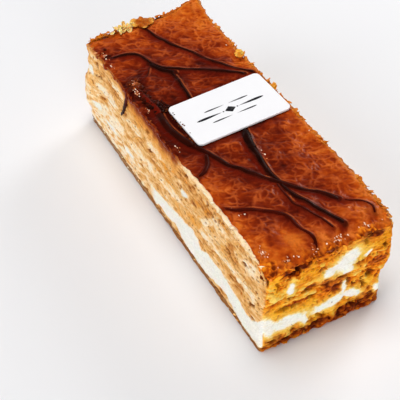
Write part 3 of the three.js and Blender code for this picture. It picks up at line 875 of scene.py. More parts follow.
# Chocolate strands over the glaze: half width, how black, and the places in plan they run through.
STRANDS = [
    (0.47, 0.8, [(-16.5, 21), (-25.8, 13.6), (-35.6, 8.8), (-45.6, 3.8), (-56.8, 0.2)]),
    (0.54, 0.9, [(-17.3, 18), (-23.5, 10.2), (-27.5, 5), (-32.5, -2), (-37.5, -6), (-44.5, -8.6),
                 (-47.4, -12), (-48.1, -16.6)]),
    (0.48, 1.0, [(-15.6, -3.5), (-22.5, -3.0), (-29, -2.6), (-32, -4)]),
    (0.80, 1.0, [(-30, -1.8), (-32.5, -4.2), (-35.5, -6.2), (-38.5, -7.0)]),
    (0.16, 0.3, [(-38.5, -6.9), (-33.5, -10.2), (-30.6, -13.8)]),
    (0.72, 0.7, [(-13.5, -15.9), (-6.5, -16.2), (2.5, -14.6), (10.5, -11.4), (18.5, -8.2), (25.5, -4.2),
                 (32.5, 0.7), (39.5, 5.7), (43.5, 9.8), (48.5, 13)]),
    (1.15, 0.7, [(-14.5, -15.6), (-9, -16.3), (-3, -15.9), (2.5, -14.6), (6, -13.2)]),
    (1.18, 1.0, [(7.3, 4.0), (9.5, 3.5), (13.5, 2.4), (17.5, 1.8)]),
    (0.86, 1.0, [(13.5, 2.4), (19.5, 1.6), (28.5, 1.0)]),
    (0.66, 0.9, [(26, 1.1), (38.5, 1.9), (46.5, 4.5), (52.5, 7.0), (57.8, 9.0)]),
    (0.36, 0.3, [(33.5, 0.6), (43.5, 0.5), (49.5, 3.0), (57.5, 5.4)]),
    (0.40, 0.3, [(49.5, 14), (52.5, 18), (55.5, 20), (58.4, 19)]),
    (0.58, 0.25, [(35, -18.2), (38.5, -13), (42.5, -7.4), (46.5, -4.0), (53.5, -2.9), (58, -1.7),
                  (61, -2.3)]),
    (0.74, 0.4, [(11.5, -11.9), (15.5, -13.4), (18, -15.6), (19.6, -18.4)]),
]


def trail(stops, step):
    """Even points along a smooth line through the stops."""
    stops = np.array(stops, float)
    ends = np.vstack([2 * stops[0] - stops[1], stops, 2 * stops[-1] - stops[-2]])
    t = np.linspace(0, 1, 40, endpoint=False)[:, None]
    spans = [
        b + 0.5 * ((c - a) * t + (2 * a - 5 * b + 4 * c - d) * t**2 + (3 * b - a - 3 * c + d) * t**3)
        for a, b, c, d in zip(ends, ends[1:], ends[2:], ends[3:])
    ]
    line = np.vstack([*spans, stops[-1:]])
    run = np.concatenate([[0], np.cumsum(np.linalg.norm(np.diff(line, axis=0), axis=1))])
    even = np.linspace(0, run[-1], max(2, round(run[-1] / step)) + 1)
    return np.stack([np.interp(even, run, line[:, axis]) for axis in range(line.shape[1])], -1)


def strand_distance(x, y):
    """Distance from each place to the side of the nearest strand, and how black that strand is."""
    nearest, black = np.full(x.shape, 99.0), np.zeros(x.shape)
    for half_width, blackness, stops in STRANDS:
        for px, py in trail(stops, 0.6):
            gap = np.hypot(x - px, y - py) - half_width
            black = np.where(gap < nearest, blackness, black)
            nearest = np.minimum(nearest, gap)
    return nearest, black


def crossing(x, y):
    """How far each place lies across the wrinkles, and how far along them."""
    turn_x, turn_y = WRINKLE_TURN
    return turn_x * x - turn_y * y, turn_y * x + turn_x * y


def crooked(x, y, *seeds):
    """A random shift made of swells of three sizes."""
    sizes = [(1.6, 7), (1.1, 2.8), (0.45, 1.2)]
    return sum(high * swells(x, y, wide, seed) for (high, wide), seed in zip(sizes, seeds))


def bell(distance, width):
    """1 where the distance is nothing, falling away smoothly on both sides."""
    return np.exp(-((distance / width) ** 2))


def wrinkles(x, y, apart, thick, seed):
    """The wrinkled skin on a grid of places: its crests, 1 along a crest and 0 between them, and how
    it swells between them. The crests run in crooked loops, broken in places."""
    across, along = crossing(x, y)
    across = (across + crooked(x, y, seed, seed + 1, seed + 4)) / apart
    along = (along + crooked(x, y, seed + 5, seed + 6, seed + 7)) / (1.7 * apart)
    swing = waver(across, along, 0.5, seed + 2)
    steepness = np.hypot(*np.gradient(swing, GLAZE_CELL)) + 0.04
    broken = smooth(-0.2, 0.12, swells(x, y, 2.6, seed + 3) + 0.6 * swells(x, y, 9, seed + 8))
    return bell(swing, steepness * thick) * broken, swing


GLAZE_TONES = [-1.2, -0.6, -0.1, 0.3, 0.7, 1.2]
GLAZE_PAINTS = np.array([
    paint(54, 10, 5), paint(92, 22, 7), paint(122, 36, 9), paint(150, 52, 11), paint(178, 72, 15),
    paint(206, 104, 30),
])
# Painted highlight: the wrinkle crests and one flank of each strand are painted in this lighter colour.
GLAZE_CREST_HIGHLIGHT = paint(226, 124, 64)
GLAZE_VALLEY_SHADE = paint(84, 18, 6)
CHOCOLATE_DARK = paint(38, 10, 6)
STRAND_MAROON = paint(94, 18, 7)
EDGE_AMBER = paint(222, 128, 32)

near_edge, back_edge, far_edge, front_edge = (float(cut_at(side, HEIGHT)) for side in CUTS)
glaze_middle = np.array([near_edge + far_edge, back_edge + front_edge]) / 2
half_size = np.array([near_edge - far_edge, back_edge - front_edge]) / 2
columns, rows = (int(2 * half / GLAZE_CELL) for half in half_size)
u, v = np.meshgrid(np.linspace(-1, 1, columns + 1), np.linspace(-1, 1, rows + 1))
x, y = u * half_size[0], v * half_size[1]
corner_x = np.clip((np.abs(x) - half_size[0] + CORNER) / CORNER, 0, 1)
corner_y = np.clip((np.abs(y) - half_size[1] + CORNER) / CORNER, 0, 1)
x = x - np.sign(x) * CORNER * corner_x * (1 - np.sqrt(1 - corner_y**2 / 2))
y = y - np.sign(y) * CORNER * corner_y * (1 - np.sqrt(1 - corner_x**2 / 2))
ragged = 0.45 * swells(x, y, 3, 311) + 0.35 * swells(x, y, 1.1, 312)
pale_lip = smooth(8, 20, x) * smooth(60, 50, x)
hollow_end = 1.4 * bell(y - 9, 6)
drawn = drawn_corner(x + glaze_middle[0], y + glaze_middle[1])
at_front, at_back = ((1 - v) / 2) ** 9, ((1 + v) / 2) ** 9
at_near, at_far = ((1 + u) / 2) ** 24, ((1 - u) / 2) ** 24
y = y + (0.1 + 0.9 * pale_lip + ragged) * at_front - (0.1 + ragged - 0.3 * drawn) * at_back
x = x - (0.2 + ragged) * at_near + (0.3 + ragged + hollow_end - drawn) * at_far
x, y = x + glaze_middle[0], y + glaze_middle[1]

near_strand, black = strand_distance(x, y)
# Distances from places shifted towards the back, so that the painted shade below falls on the front side of
# each strand.
shade_side_strand, _ = strand_distance(x, y + 0.9)
before_strand, _ = strand_distance(x + 0.2, y - 0.5)
from_strand, from_shade_side = np.maximum(near_strand, 0), np.maximum(shade_side_strand, 0)
bare = 1 - under_plaque(x, y)
strong = smooth(-0.4, 0.2, swells(x, y, 9, 321) + 0.35 * smooth(0, 16, y))
broad_crests, broad_swing = wrinkles(x, y, 3.3, 0.24, 331)
fine_crests, fine_swing = wrinkles(x, y, 2.0, 0.22, 341)
blister = swells(x, y, 1.2, 351)
across, along = crossing(x, y)
mottle = waver(across / 0.9, along / 1.9, 0.5, 354)
swell = swells(x, y, 6, 352)
net_x = x + 1.1 * swells(x, y, 3, 336) + 0.35 * blister
net_y = y + 1.1 * swells(x, y, 3, 337) + 0.35 * mottle
net = crumb_cells(net_x, net_y, 0.5, 2.9, 338, 0.24) * smooth(-0.5, 0.3, swells(x, y, 3.4, 339))
cushion = crumb_cells(net_x, net_y, 0.5, 2.9, 338, 0.9)
crests = np.maximum(0.9 * net, np.maximum(0.7 * broad_crests, 0.5 * fine_crests * strong))
crests = crests * smooth(0.1, 0.9, near_strand) * (1 - 0.6 * smooth(46, 54, x) * smooth(-2, -8, y))
# Painted shade: the crests shifted a little towards the front, where each valley lies in shade.
shaded_valleys = np.maximum(np.roll(crests, (-2, 1), (0, 1)), np.roll(crests, (-3, 1), (0, 1))) * (1 - crests)
edge = np.minimum(1 - np.abs(u), (1 - np.abs(v)) * half_size[1] / half_size[0]) * half_size[0]
ridge = (0.12 + 0.20 * black) * bell(from_strand, 0.7)
relief = 0.13 * crests - 0.05 * shaded_valleys + 0.08 * broad_swing + 0.05 * fine_swing + 0.12 * (cushion - 0.5)
relief += 0.03 * blister + 0.02 * mottle + 0.10 * swell + ridge
sheet = glaze_top(x, y)
crumb = crumb_cells(x + 0.5 * blister, y + 0.5 * mottle, sheet, 1.7, 357)
clod = knobs(x, y, sheet, 2.2, 2.2, 353)
nib = knobs(x, y, sheet, 0.8, 0.8, 359)
corner_gap = np.hypot(x - near_edge, y - front_edge) + 0.8 * swells(x, y, 2, 358)
rough_end = np.maximum(smooth(57.5, 61.5, x), smooth(6, 3.5, corner_gap))
relief += rough_end * (0.5 * clod + 0.12 * nib + 0.4 * (crumb - 0.5))
z = sheet + relief * bare - 0.35 * (1 - smooth(0, 0.9, edge))

light_edge = smooth(13, 1, back_edge - y) + smooth(9, 2, x - far_edge)
light_edge = light_edge + 0.9 * smooth(16, 4, near_edge - x)
light_edge += 0.9 * smooth(-10, -18, y) * smooth(8, 26, x) + 0.6 * smooth(24, 6, np.hypot(x + 58, y - 18))
light_edge += 0.5 * smooth(7, 2, np.hypot(x - 53, y + 8)) + 0.3 * smooth(-13, -18, y) * smooth(8, 0, x)
tone = 0.35 * swells(x, y, 13, 361) + 0.40 * swells(x, y, 4.5, 362)
tone += 0.18 * blister + 0.26 * mottle + 0.25 * broad_swing + 0.20 * fine_swing + 0.45 * (cushion - 0.5)
tone += 0.85 * np.minimum(light_edge, 1.15) - 0.30
tone += 0.45 * smooth(13, 5, np.hypot(x + 53, y + 5)) - 0.35 * smooth(12, 5, np.hypot(x + 24, y + 8))
# Painted shade: darker on the front side of each strand, and round and under the plaque.
tone -= 0.45 * np.exp(-from_shade_side / 2.2) + 0.45 * under_plaque(x, y)
tone -= 0.9 * smooth(4.5, 1, np.hypot(x - 54, (y + 12) / 0.8))
scorched_edge = smooth(-40, -30, x) * smooth(12, 2, x) * smooth(-11, -16, y)
tone += 0.22 * smooth(34, 50, x) - 1.0 * scorched_edge
colour = toned(tone, GLAZE_TONES, GLAZE_PAINTS)
# painted shade in the valley on the front side of each crest
colour = mixed_paint(colour, GLAZE_VALLEY_SHADE, 0.40 * shaded_valleys * bare)
# The crests are painted lighter: partly the thin caramel over each ridge, partly painted highlight.
colour = mixed_paint(colour, GLAZE_CREST_HIGHLIGHT, 0.45 * crests * bare * smooth(-1.5, 0.4, tone))
# Painted shade: a maroon halo on the front side of each strand.
strand_painted_shade = bell(from_shade_side, 1.3)
colour = mixed_paint(colour, STRAND_MAROON, 0.75 * np.minimum(black + 0.3, 1) * strand_painted_shade)
colour = mixed_paint(colour, CHOCOLATE_DARK, 0.7 * black * bell(from_strand, 0.45))
# Painted highlight: a thin light line along the back flank of each strand, the side facing the far lamp.
skin = smooth(0.1, 0.35, near_strand - before_strand) * bell(near_strand - 0.45, 0.20)
colour = mixed_paint(colour, GLAZE_CREST_HIGHLIGHT, 0.60 * skin * smooth(-0.6, 0.1, swells(x, y, 5, 355)))
amber = 0.7 * smooth(1.8, 0.1, edge + 0.5 * blister) * smooth(-16, -8, y) * smooth(62, 58, x)
colour = mixed_paint(colour, EDGE_AMBER, amber)
crumb_tone = 0.7 * clod + 0.7 * nib + 0.9 * (crumb - 0.55) - 0.55
toasted = smooth(60, 63.5, x + 1.8 * swells(x, y, 3, 356) + 0.8 * blister)
toasted = np.maximum(toasted, smooth(6.5, 4, corner_gap))
colour = mixed_paint(colour, toned(crumb_tone, END_TONES, END_PAINTS), 0.85 * toasted)

run_over = 0.7 + 0.6 * waver(x[0] / 4, 0, 0.5, 371) + 0.4 * waver(x[0] / 1.3, 0, 0.5, 372)
run_over = 0.3 + np.maximum(run_over, 0) * smooth(13, 6, x[0]) * smooth(-61, -57, x[0])
share = np.linspace(1, 0, RUN_ROWS, endpoint=False)[:, None]
run_x = np.broadcast_to(x[0], (RUN_ROWS, columns + 1))
run_y = y[0] - 0.3 * np.sin(share * 2.6) * smooth(0.3, 1.2, run_over)
run_z = z[0] - run_over * share
run_colour = mixed_paint(colour[0], GLAZE_PAINTS[3], 0.6 * smooth(0.3, 1.0, run_over))
x, y, z = (np.vstack(pair) for pair in ((run_x, x), (run_y, y), (run_z, z)))
colour = np.concatenate([np.broadcast_to(run_colour, (RUN_ROWS, columns + 1, 3)), colour])


def slab_faces(rows, columns):
    """The upper skin of a slab of grid points, and its border as a ring run anticlockwise."""
    grid = np.arange((rows + 1) * (columns + 1)).reshape(rows + 1, columns + 1)
    skin = np.stack([grid[:-1, :-1], grid[:-1, 1:], grid[1:, 1:], grid[1:, :-1]], -1)
    border = [*grid[0, :-1], *grid[:-1, -1], *grid[-1, :0:-1], *grid[:0:-1, 0]]
    return skin.reshape(-1, 4).tolist(), [int(corner) for corner in border]


def underside(faces, border, start, rings):
    """Walls down from the border through more rings that follow from start, and a flat bottom."""
    upper = border
    for k in range(rings):
        lower = list(range(start + k * len(border), start + (k + 1) * len(border)))
        for here, corner in enumerate(lower):
            there = (here + 1) % len(lower)
            faces.append([corner, lower[there], upper[there], upper[here]])
        upper = lower
    faces.append(upper[::-1])


faces, border = slab_faces(rows + RUN_ROWS, columns)
points = np.stack([x, y, z], -1).reshape(-1, 3)
colour = colour.reshape(-1, 3)
middle = np.array([*glaze_middle, 0])
tucked = middle + (points[border] - middle) * TUCKED - (0, 0, GLAZE_THICK)
inner = middle + (points[border] - middle) * UNDERSIDE
inner[:, 2] = tucked[:, 2].min() - 0.3
underside(faces, border, len(points), 2)
points = np.vstack([points, tucked, inner])
colour = np.vstack([colour, colour[border], colour[border]])

caramel_finish = painted_finish(
    "caramel_finish", dry=0.28, moist=0.22, grain_depth=0.04, speckle=(0.88, 1.10), shine=0.085,
    shine_tint=(1, 0.45, 0.22),
)
caramel_glaze = make_piece("caramel_glaze", points, faces, caramel_finish, colour, wet=0.0)
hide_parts("top_pastry")

# ==== Chocolate strands ===========================================================================
# Thin dark chocolate, trailed over the hot glaze from a paper cone, so that each strand is half
# sunk, swells and thins along its run, and ends in a small drop. One run of burnt caramel has
# dripped down the front side.

STRAND_SIDES = 14
STRAND_STEP = 0.45
DRIP_STOPS = [
    (-28.6, -18.9, 35.6), (-28.9, -20.0, 34.6), (-29.9, -20.15, 31.5), (-31.3, -20.35, 28),
    (-32.9, -20.55, 24.6), (-34.1, -20.7, 22.6), (-34.7, -20.8, 21.4),
]
DRIP_RADIUS = 0.78
DRIP_DARK = paint(40, 11, 6)  # at its foot
DRIP_BROWN = paint(96, 26, 10)  # where it leaves the top


def tube_rings(centres, across, lift, radius):
    """Rings round a line of centres. across and lift point sideways and outward at each."""
    angle = np.arange(STRAND_SIDES) * 2 * pi / STRAND_SIDES
    sideways = across[:, None] * np.cos(angle)[None, :, None]
    outward = lift[:, None] * np.sin(angle)[None, :, None]
    return centres[:, None] + radius[:, None, None] * (sideways + outward)


def uneven_radius(half_width, run, seed):
    """Half widths along a run: swelling and thinning, and closing in a round drop at each end."""
    tip = np.minimum(run, run[::-1])
    swelling = 0.20 * waver(run / 6, 0.5, 0.5, seed)
    radius = half_width * (1 + swelling + 0.12 * waver(run / 1.8, 0.5, 0.5, seed + 1))
    return radius * np.sqrt(np.clip(tip / (1.2 * half_width), 0.02, 1))


def surface_height(x, y):
    """The glazed top without its finest folds."""
    return glaze_top(x, y) + 0.12 * swells(x, y, 6, 352) * (1 - under_plaque(x, y))


def strand_rings(half_width, stops, seed):
    """Rings of a flattened strand, half sunk in the glaze along its stops."""
    line = trail(stops, STRAND_STEP)
    x, y = line.T
    x = x + 0.25 * swells(x, y, 4, seed)
    y = y + 0.25 * swells(x, y, 4, seed + 1)
    radius = uneven_radius(half_width, np.arange(len(x)) * STRAND_STEP, seed + 2)
    centres = np.stack([x, y, surface_height(x, y) + 0.16], -1)
    along = np.gradient(centres[:, :2], axis=0)
    along /= np.linalg.norm(along, axis=1)[:, None]
    across = np.stack([along[:, 1], -along[:, 0], np.zeros(len(x))], -1)
    lift = np.broadcast_to([0, 0, 0.6], centres.shape)
    return tube_rings(centres, across, lift, radius)


def tube(rings, colours):
    """The points, faces and colours of a run of rings."""
    return rings.reshape(-1, 3), closed_faces(len(rings), STRAND_SIDES), colours


def joined_piece(name, parts, finish, wet=0.0):
    """One piece from many closed parts, each given as its points, faces and colours."""
    points, faces, colours, start = [], [], [], 0
    for part_points, part_faces, part_colours in parts:
        points.append(part_points)
        faces.extend([[corner + start for corner in face] for face in part_faces])
        colours.append(np.broadcast_to(part_colours, part_points.shape))
        start += len(part_points)
    return make_piece(name, np.vstack(points), faces, finish, np.vstack(colours), wet)


parts = []
for k, (half_width, blackness, stops) in enumerate(STRANDS):
    rings = strand_rings(half_width, stops, 400 + 5 * k)
    tint = mixed_paint(STRAND_MAROON, CHOCOLATE_DARK, blackness)
    streak = mixed_paint(tint, tint * 0.6, 0.5 + 0.5 * waver(*rings.reshape(-1, 3).T / 2.5, 460))
    parts.append(tube(rings, streak))

line = trail(DRIP_STOPS, STRAND_STEP)[::-1]
run = np.arange(len(line)) * STRAND_STEP
radius = uneven_radius(DRIP_RADIUS, run, 455) * (0.65 + 0.35 * smooth(0, 2.5, run))
across = np.broadcast_to([1.0, 0, 0], line.shape)
lift = np.broadcast_to([0, -0.75, 0.1], line.shape)
rings = tube_rings(line, across, lift, radius)
sideways = 0.35 * waver(*line.T / 1.4, 456)
rings[:, :, 0] += sideways[:, None]
drip = mixed_paint(DRIP_DARK, DRIP_BROWN, smooth(3, 11, rings[..., 2] - 23))
parts.append(tube(rings, drip.reshape(-1, 3)))

chocolate_finish = painted_finish(
    "chocolate_finish", dry=0.40, moist=0.18, grain_depth=0.04, shine=0.06, shine_tint=(1, 0.40, 0.25),
)
strands = joined_piece("chocolate_strands", parts, chocolate_finish)
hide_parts("top_pastry")

# ==== Burnt sugar =================================================================================
# Where the glaze was scorched hardest, along the front beside the plaque, the sugar foamed up and
# set in dark knobbly lumps that run into each other. Small grains of it, left unmelted, stand along
# the edges; many are painted near white as painted glints. In one place the foam is painted
# lighter, as painted light shining through it.

BURNT_RUN = [(-31, -16.2), (-27, -16.7), (-21, -16.3), (-16.5, -15.6), (-12.5, -15.6)]

# middle of each heap of scorched lumps, its half length, its half width, number, and size of a lump
BURNT_HEAPS = [
    (-30.0, -16.2, 2.5, 1.9, 58, 0.88), (-25.5, -16.7, 3.4, 1.4, 54, 0.70),
    (-20.0, -16.2, 3.4, 1.3, 52, 0.66), (-16.5, -14.0, 3.0, 1.7, 80, 0.58),
    (-13.6, -12.4, 1.4, 1.4, 30, 0.48), (-51.0, -17.6, 2.6, 0.9, 10, 0.50),
]
SCORCHED_RED = paint(92, 26, 10)
SCORCHED_BLACK = paint(22, 7, 5)
SCORCHED_PAINTED_GLOW = paint(176, 96, 44)

# middle of each cluster of beads in plan, its half length, its half width, and the number of beads
BEAD_CLUSTERS = [
    (-31.0, -16.6, 2.0, 1.3, 26), (-50, -18.4, 2.4, 0.6, 20), (-44, -18.4, 1.8, 0.5, 8),
    (-26.5, -17.6, 2.6, 0.7, 18), (-16, -18.2, 1.6, 0.5, 6), (4, -18.0, 2, 0.6, 5),
    (56, -17.2, 2.2, 1.0, 34), (60.8, -3, 1.0, 0.8, 16), (53.2, 13.4, 0.5, 0.8, 6),
    (60.4, 5, 0.8, 4, 22), (60.6, -12, 0.7, 2.8, 26), (60.6, 15, 0.8, 3, 14), (38, -15, 3, 2, 5),
    (20, 3.6, 3, 0.4, 4), (-14, 20.8, 3, 0.8, 3), (20, 21.2, 5, 0.7, 4), (-42, 21.0, 6, 0.8, 4),
]
BEAD_BROWN = paint(196, 96, 40)
# near white: a painted glint
BEAD_PAINTED_GLINT = paint(255, 226, 200)


def lump(centre, size, seed, rows=6, sides=9):
    """A small knobbly closed lump. size is its half length, half width and half height."""
    rise = np.linspace(-0.45, 0.45, rows)[:, None] * pi
    angle = np.arange(sides)[None] * 2 * pi / sides
    unit = np.stack([
        np.cos(rise) * np.cos(angle), np.cos(rise) * np.sin(angle), np.sin(rise) + 0 * angle,
    ], -1).reshape(-1, 3)
    knob = 1 + 0.45 * waver(*(0.9 * unit.T + 0.37), seed)
    return centre + unit * knob[:, None] * size, closed_faces(rows, sides)


draw = np.random.default_rng(7)
rings = strand_rings(1.2, BURNT_RUN, 495)
parts = [tube(rings, STRAND_MAROON)]
for heap, (px, py, half_length, half_width, count, thickness) in enumerate(BURNT_HEAPS):
    for k in range(count):
        lx = px + half_length * draw.uniform(-1, 1)
        ly = max(py + half_width * draw.normal(0, 0.55), front_edge + 0.4)
        size = thickness * draw.uniform(0.6, 1.25) * draw.uniform(0.75, 1.25, 3) * (1, 1, 0.8)
        height = glaze_top(lx, ly) + draw.uniform(0, 0.45) * thickness
        charred = smooth(-28, -15, lx) * 0.5 + draw.uniform(0, 0.5)
        scorched = mixed_paint(SCORCHED_RED, SCORCHED_BLACK, charred)
        # Painted light: the foam round one place is painted lighter, as if light shone through it.
        painted_glow = exp(-((hypot(lx + 30.2, ly + 16.2) / 1.5) ** 2))
        scorched = mixed_paint(scorched, SCORCHED_PAINTED_GLOW, 0.75 * painted_glow)
        parts.append((*lump((lx, ly, height), size, 500 + 60 * heap + k, 8, 12), scorched))
burnt_sugar = joined_piece("burnt_sugar", parts, chocolate_finish, wet=0.8)
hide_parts("top_pastry")

parts = []
for px, py, half_length, half_width, count in BEAD_CLUSTERS:
    for k in range(count):
        bx, by = px + draw.normal(0, half_length / 1.8), py + draw.normal(0, half_width / 1.8)
        bx = min(max(bx, far_edge + 0.6), near_edge - 0.7)
        by = min(max(by, front_edge + 0.3), back_edge - 0.7)
        size = draw.uniform(0.12, 0.28) * draw.uniform(0.7, 1.3, 3) * (1.5, 1.0, 0.8)
        # Painted glint: most beads are painted towards near white, where they would catch the light.
        pale = mixed_paint(BEAD_BROWN, BEAD_PAINTED_GLINT, smooth(0.35, 0.95, draw.uniform(0, 1)))
        on_heap = 0.75 * (-34 < bx < -23 and by < -14)
        parts.append((*lump((bx, by, glaze_top(bx, by) + 0.16 + on_heap), size, 700 + k, 6, 8), pale))
bead_finish = painted_finish("bead_finish", dry=0.12, moist=0.08, grain_depth=0.01)
settle(bead_finish.node_tree.nodes["Principled BSDF"], {"Coat Weight": 1.0, "Coat Roughness": 0.05})
beads = joined_piece("sugar_beads", parts, bead_finish)
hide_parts("top_pastry")

# ==== Loose flakes ================================================================================
# Shards of baked leaf that broke off and stuck in the glaze: a clear amber disc and a crumpled pale
# flake at the far end, two small curls along the back edge, and torn tips of leaves all round.


def turned(x, y, angle):
    """Places turned anticlockwise about the origin."""
    return x * cos(angle) - y * sin(angle), x * sin(angle) + y * cos(angle)


def shard(centre, reach, across, heading, tilt, curl, thick, seed, sides=16):
    """A thin irregular shard. reach and across are its half sizes, heading its direction in plan,
    tilt how steeply that way climbs, and curl how far its rim bends up."""
    angle = np.arange(sides) * 2 * pi / sides
    outline = 1 + 0.35 * waver(1.2 * np.cos(angle) + 5, 1.2 * np.sin(angle), 0.5, seed)
    outline += 0.22 * waver(3 * np.cos(angle), 3 * np.sin(angle), 0.5, seed + 1)
    rings = []
    for share, face in [(0.06, -1), (0.5, -1), (0.85, -0.8), (1, 0), (0.85, 0.8), (0.5, 1), (0.06, 1)]:
        u = share * outline * np.cos(angle)
        v = share * outline * np.sin(angle)
        bent = curl * (u * u + 0.5 * v * v) + 0.14 * waver(2.2 * u, 2.2 * v, 0.5, seed + 2)
        rings.append(np.stack([reach * u, across * v, reach * bent + face * thick / 2], -1))
    points = np.vstack(rings)
    x, z = turned(points[:, 0], points[:, 2], tilt)
    x, y = turned(x, points[:, 1], heading)
    return np.stack([x, y, z], -1) + centre, closed_faces(len(rings), sides)


DISC_CENTRE = np.array([-60.4, 0.9, 36.3])
PALE_CENTRE = np.array([-60.4, -6.7, 36.2])
PALE_SPREAD = (0.9, 1.5, 0.4)
PALE_SCRAPS = 34  # small shards that make up the crumpled flake
CURLS = [(-26.5, 21.8, 1.8), (-5.5, 22.4, 1.5)]  # place in plan, and size
AMBER = paint(214, 122, 26)
AMBER_DEEP = paint(140, 58, 12)
AMBER_RIM = paint(250, 188, 86)
PALE_FLAKE = paint(253, 222, 150)
TOASTED_FLAKE = paint(232, 168, 76)

parts = []
disc_points, disc_faces = shard(DISC_CENTRE, 4.0, 3.7, radians(10), 0.06, 0.09, 0.4, 801, 40)
rim = smooth(2.9, 3.9, np.linalg.norm((disc_points - DISC_CENTRE) * (0.95, 1.05, 0), axis=1))
ripple = 0.5 + 0.5 * waver(*disc_points.T / 1.6, 802)
amber_disc = mixed_paint(mixed_paint(AMBER, AMBER_DEEP, ripple), AMBER_RIM, 0.85 * rim)
parts.append((disc_points, disc_faces, amber_disc))
for k in range(PALE_SCRAPS):
    centre = PALE_CENTRE + draw.normal(0, PALE_SPREAD)
    centre[2] = min(max(centre[2], 35.2), 36.9)
    heading, tilt = draw.uniform(0, 6.3), draw.uniform(0.2, 1.3)
    pale = mixed_paint(PALE_FLAKE, TOASTED_FLAKE, draw.uniform(0, 0.7))
    size = draw.uniform(0.7, 1.35)
    width = size * draw.uniform(0.6, 1)
    parts.append((*shard(centre, size, width, heading, tilt, 0.5, 0.25, 810 + k), pale))
for cx, cy, size in CURLS:
    for k in range(3):
        centre = (cx + draw.normal(0, 0.5), cy + draw.normal(0, 0.25), glaze_top(cx, cy) + 0.5 + 0.25 * k)
        gold = mixed_paint(AMBER_RIM, AMBER, draw.uniform(0, 1))
        heading = pi / 2 + draw.normal(0, 0.7)
        width = size * draw.uniform(0.6, 1)
        parts.append((*shard(centre, size * 0.8, width, heading, 0.5, 0.5, 0.3, 830 + k), gold))
flake_finish = painted_finish("flake_finish", dry=0.45, moist=0.22, grain_depth=0.05, glow=0.4)
flakes = joined_piece("loose_flakes", parts, flake_finish, wet=0.7)
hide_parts("top_pastry")

# Torn leaf tips: side they stand on, counted anticlockwise from the near end, number, lowest and
# highest place, and how far they reach out.
TATTER_GROUPS = [
    (0, 200, 1.0, 33.5, 0.7), (2, 260, 1.0, 34.0, 0.75), (1, 160, 1.5, 33, 0.5), (1, 300, 33.6, 35.7, 0.8),
    (0, 60, 29.5, 33.2, 0.5), (2, 120, 33.5, 36.2, 0.9), (3, 60, 12, 33.5, 0.35), (3, 40, 0.8, 4, 0.4),
    (3, 40, 34.4, 35.4, 0.5),
]


def side_places(side, along, z):
    """Places on a cut side, before its relief, and the way it faces there."""
    angle = side * pi / 2
    facing = np.broadcast_to([round(cos(angle)), round(sin(angle))], (len(z), 2))
    face = cut_at(list(CUTS)[side], z)
    return (face, along, facing) if side in (0, 2) else (along, face, facing)


parts = []
for group, (side, count, lowest, highest, reach) in enumerate(TATTER_GROUPS):
    half_run = HALF_SIZE[1 - side % 2] - 1.5
    along, z = draw.uniform(-half_run, half_run, count), draw.uniform(lowest, highest, count)
    x, y, facing = side_places(side, along, z)
    near_by, leaf_paints, wet = cut_face(x[None], y[None], z[None], facing, (HEIGHT - z)[None], seed=240)
    crust = (0.2 if side == 0 else 0.65) * smooth(32.5, 34.5, z) * (side != 3)
    leaf_paints = mixed_paint(leaf_paints[0] + draw.normal(4, 18, (count, 1)), EDGE_AMBER, crust)
    for k in range(count):
        size = draw.uniform(0.35, 1.15) * reach
        width = draw.uniform(0.4, 1.9) * max(reach, 0.6)
        heading = side * pi / 2 + draw.normal(0, 0.6)
        tilt, curl = draw.normal(0, 0.5), draw.normal(0, 0.4)
        sink = draw.uniform(0.1, 0.7) * reach - near_by[0, k] * (z[k] < 33.5)
        if wet[0, k] > 0.25:
            continue
        centre = (x[k] - sink * cos(heading), y[k] - sink * sin(heading), z[k])
        seed = 1000 + 500 * group + k
        parts.append((*shard(centre, size, width, heading, tilt, curl, 0.16, seed, 9), leaf_paints[k]))
tatters = joined_piece("torn_leaf_tips", parts, pastry_finish)
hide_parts("top_pastry", "middle_pastry", "base_pastry")

# ==== Plaque ======================================================================================
# A thin plain white plaque, pressed onto the warm glaze before it set, a little askew. A printed
# ornament runs along it: a tapering rule on each side of a small diamond. Dark crumbs of burnt
# sugar have crept over its front edge.

PLAQUE_THICK = 0.8
PLAQUE_CORNER = 1.8
PLAQUE_TURN = radians(2)
PLAQUE_EDGE = [(0.12, 0), (0, 0.10), (0, 0.66), (0.05, 0.76), (0.16, PLAQUE_THICK)]  # inset, height
PLAQUE_TINTS = {6: (0.86, 0.85, 0.87, 1), 7: (0.90, 0.895, 0.91, 1)}  # by the mixer's sockets
INK_THICK = 0.03
INK = paint(34, 33, 38)
ORNAMENT_X = 0.8
CRUMBS = 56
CRUMB_BROWN = paint(150, 70, 30)
CRUMB_BLACK = paint(30, 11, 6)


def rounded_plan(half_x, half_y, radius, arc=8):
    """A rectangle with round corners, anticlockwise."""
    points = []
    for k, (side_x, side_y) in enumerate([(1, -1), (1, 1), (-1, 1), (-1, -1)]):
        for step in range(arc + 1):
            angle = (k - 1 + step / arc) * pi / 2
            points.append((
                side_x * (half_x - radius) + radius * cos(angle),
                side_y * (half_y - radius) + radius * sin(angle),
            ))
    return np.array(points)


def on_plaque(x, y, height):
    """Places on the plaque, turned and set down with it."""
    x, y = turned(x, y, PLAQUE_TURN)
    return np.stack([x + PLAQUE_X, y + PLAQUE_Y, HEIGHT + GAP + height + 0 * x], -1)


half_x, half_y = PLAQUE_SIZE / 2
rings = []
for inset, height in PLAQUE_EDGE:
    plan = rounded_plan(half_x - inset, half_y - inset, PLAQUE_CORNER - inset)
    rings.append(on_plaque(plan[:, 0], plan[:, 1], height))
points = np.vstack(rings)
faces = closed_faces(len(rings), len(rings[0]))

plaque_finish, tree, shader = start_finish("plaque_finish", (0.93, 0.92, 0.94), 0.42)
shade = tree.nodes.new("ShaderNodeMix")
shade.data_type = "RGBA"
settle(shade, PLAQUE_TINTS)
tree.links.new(grain(tree, 0.15), shade.inputs["Factor"])
tree.links.new(shade.outputs[2], shader.inputs["Base Color"])
tree.links.new(ranged(tree, grain(tree, 0.8), 0.36, 0.5), shader.inputs["Roughness"])
plaque = make_piece("plaque_card", points, faces, plaque_finish)
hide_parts("plaque")


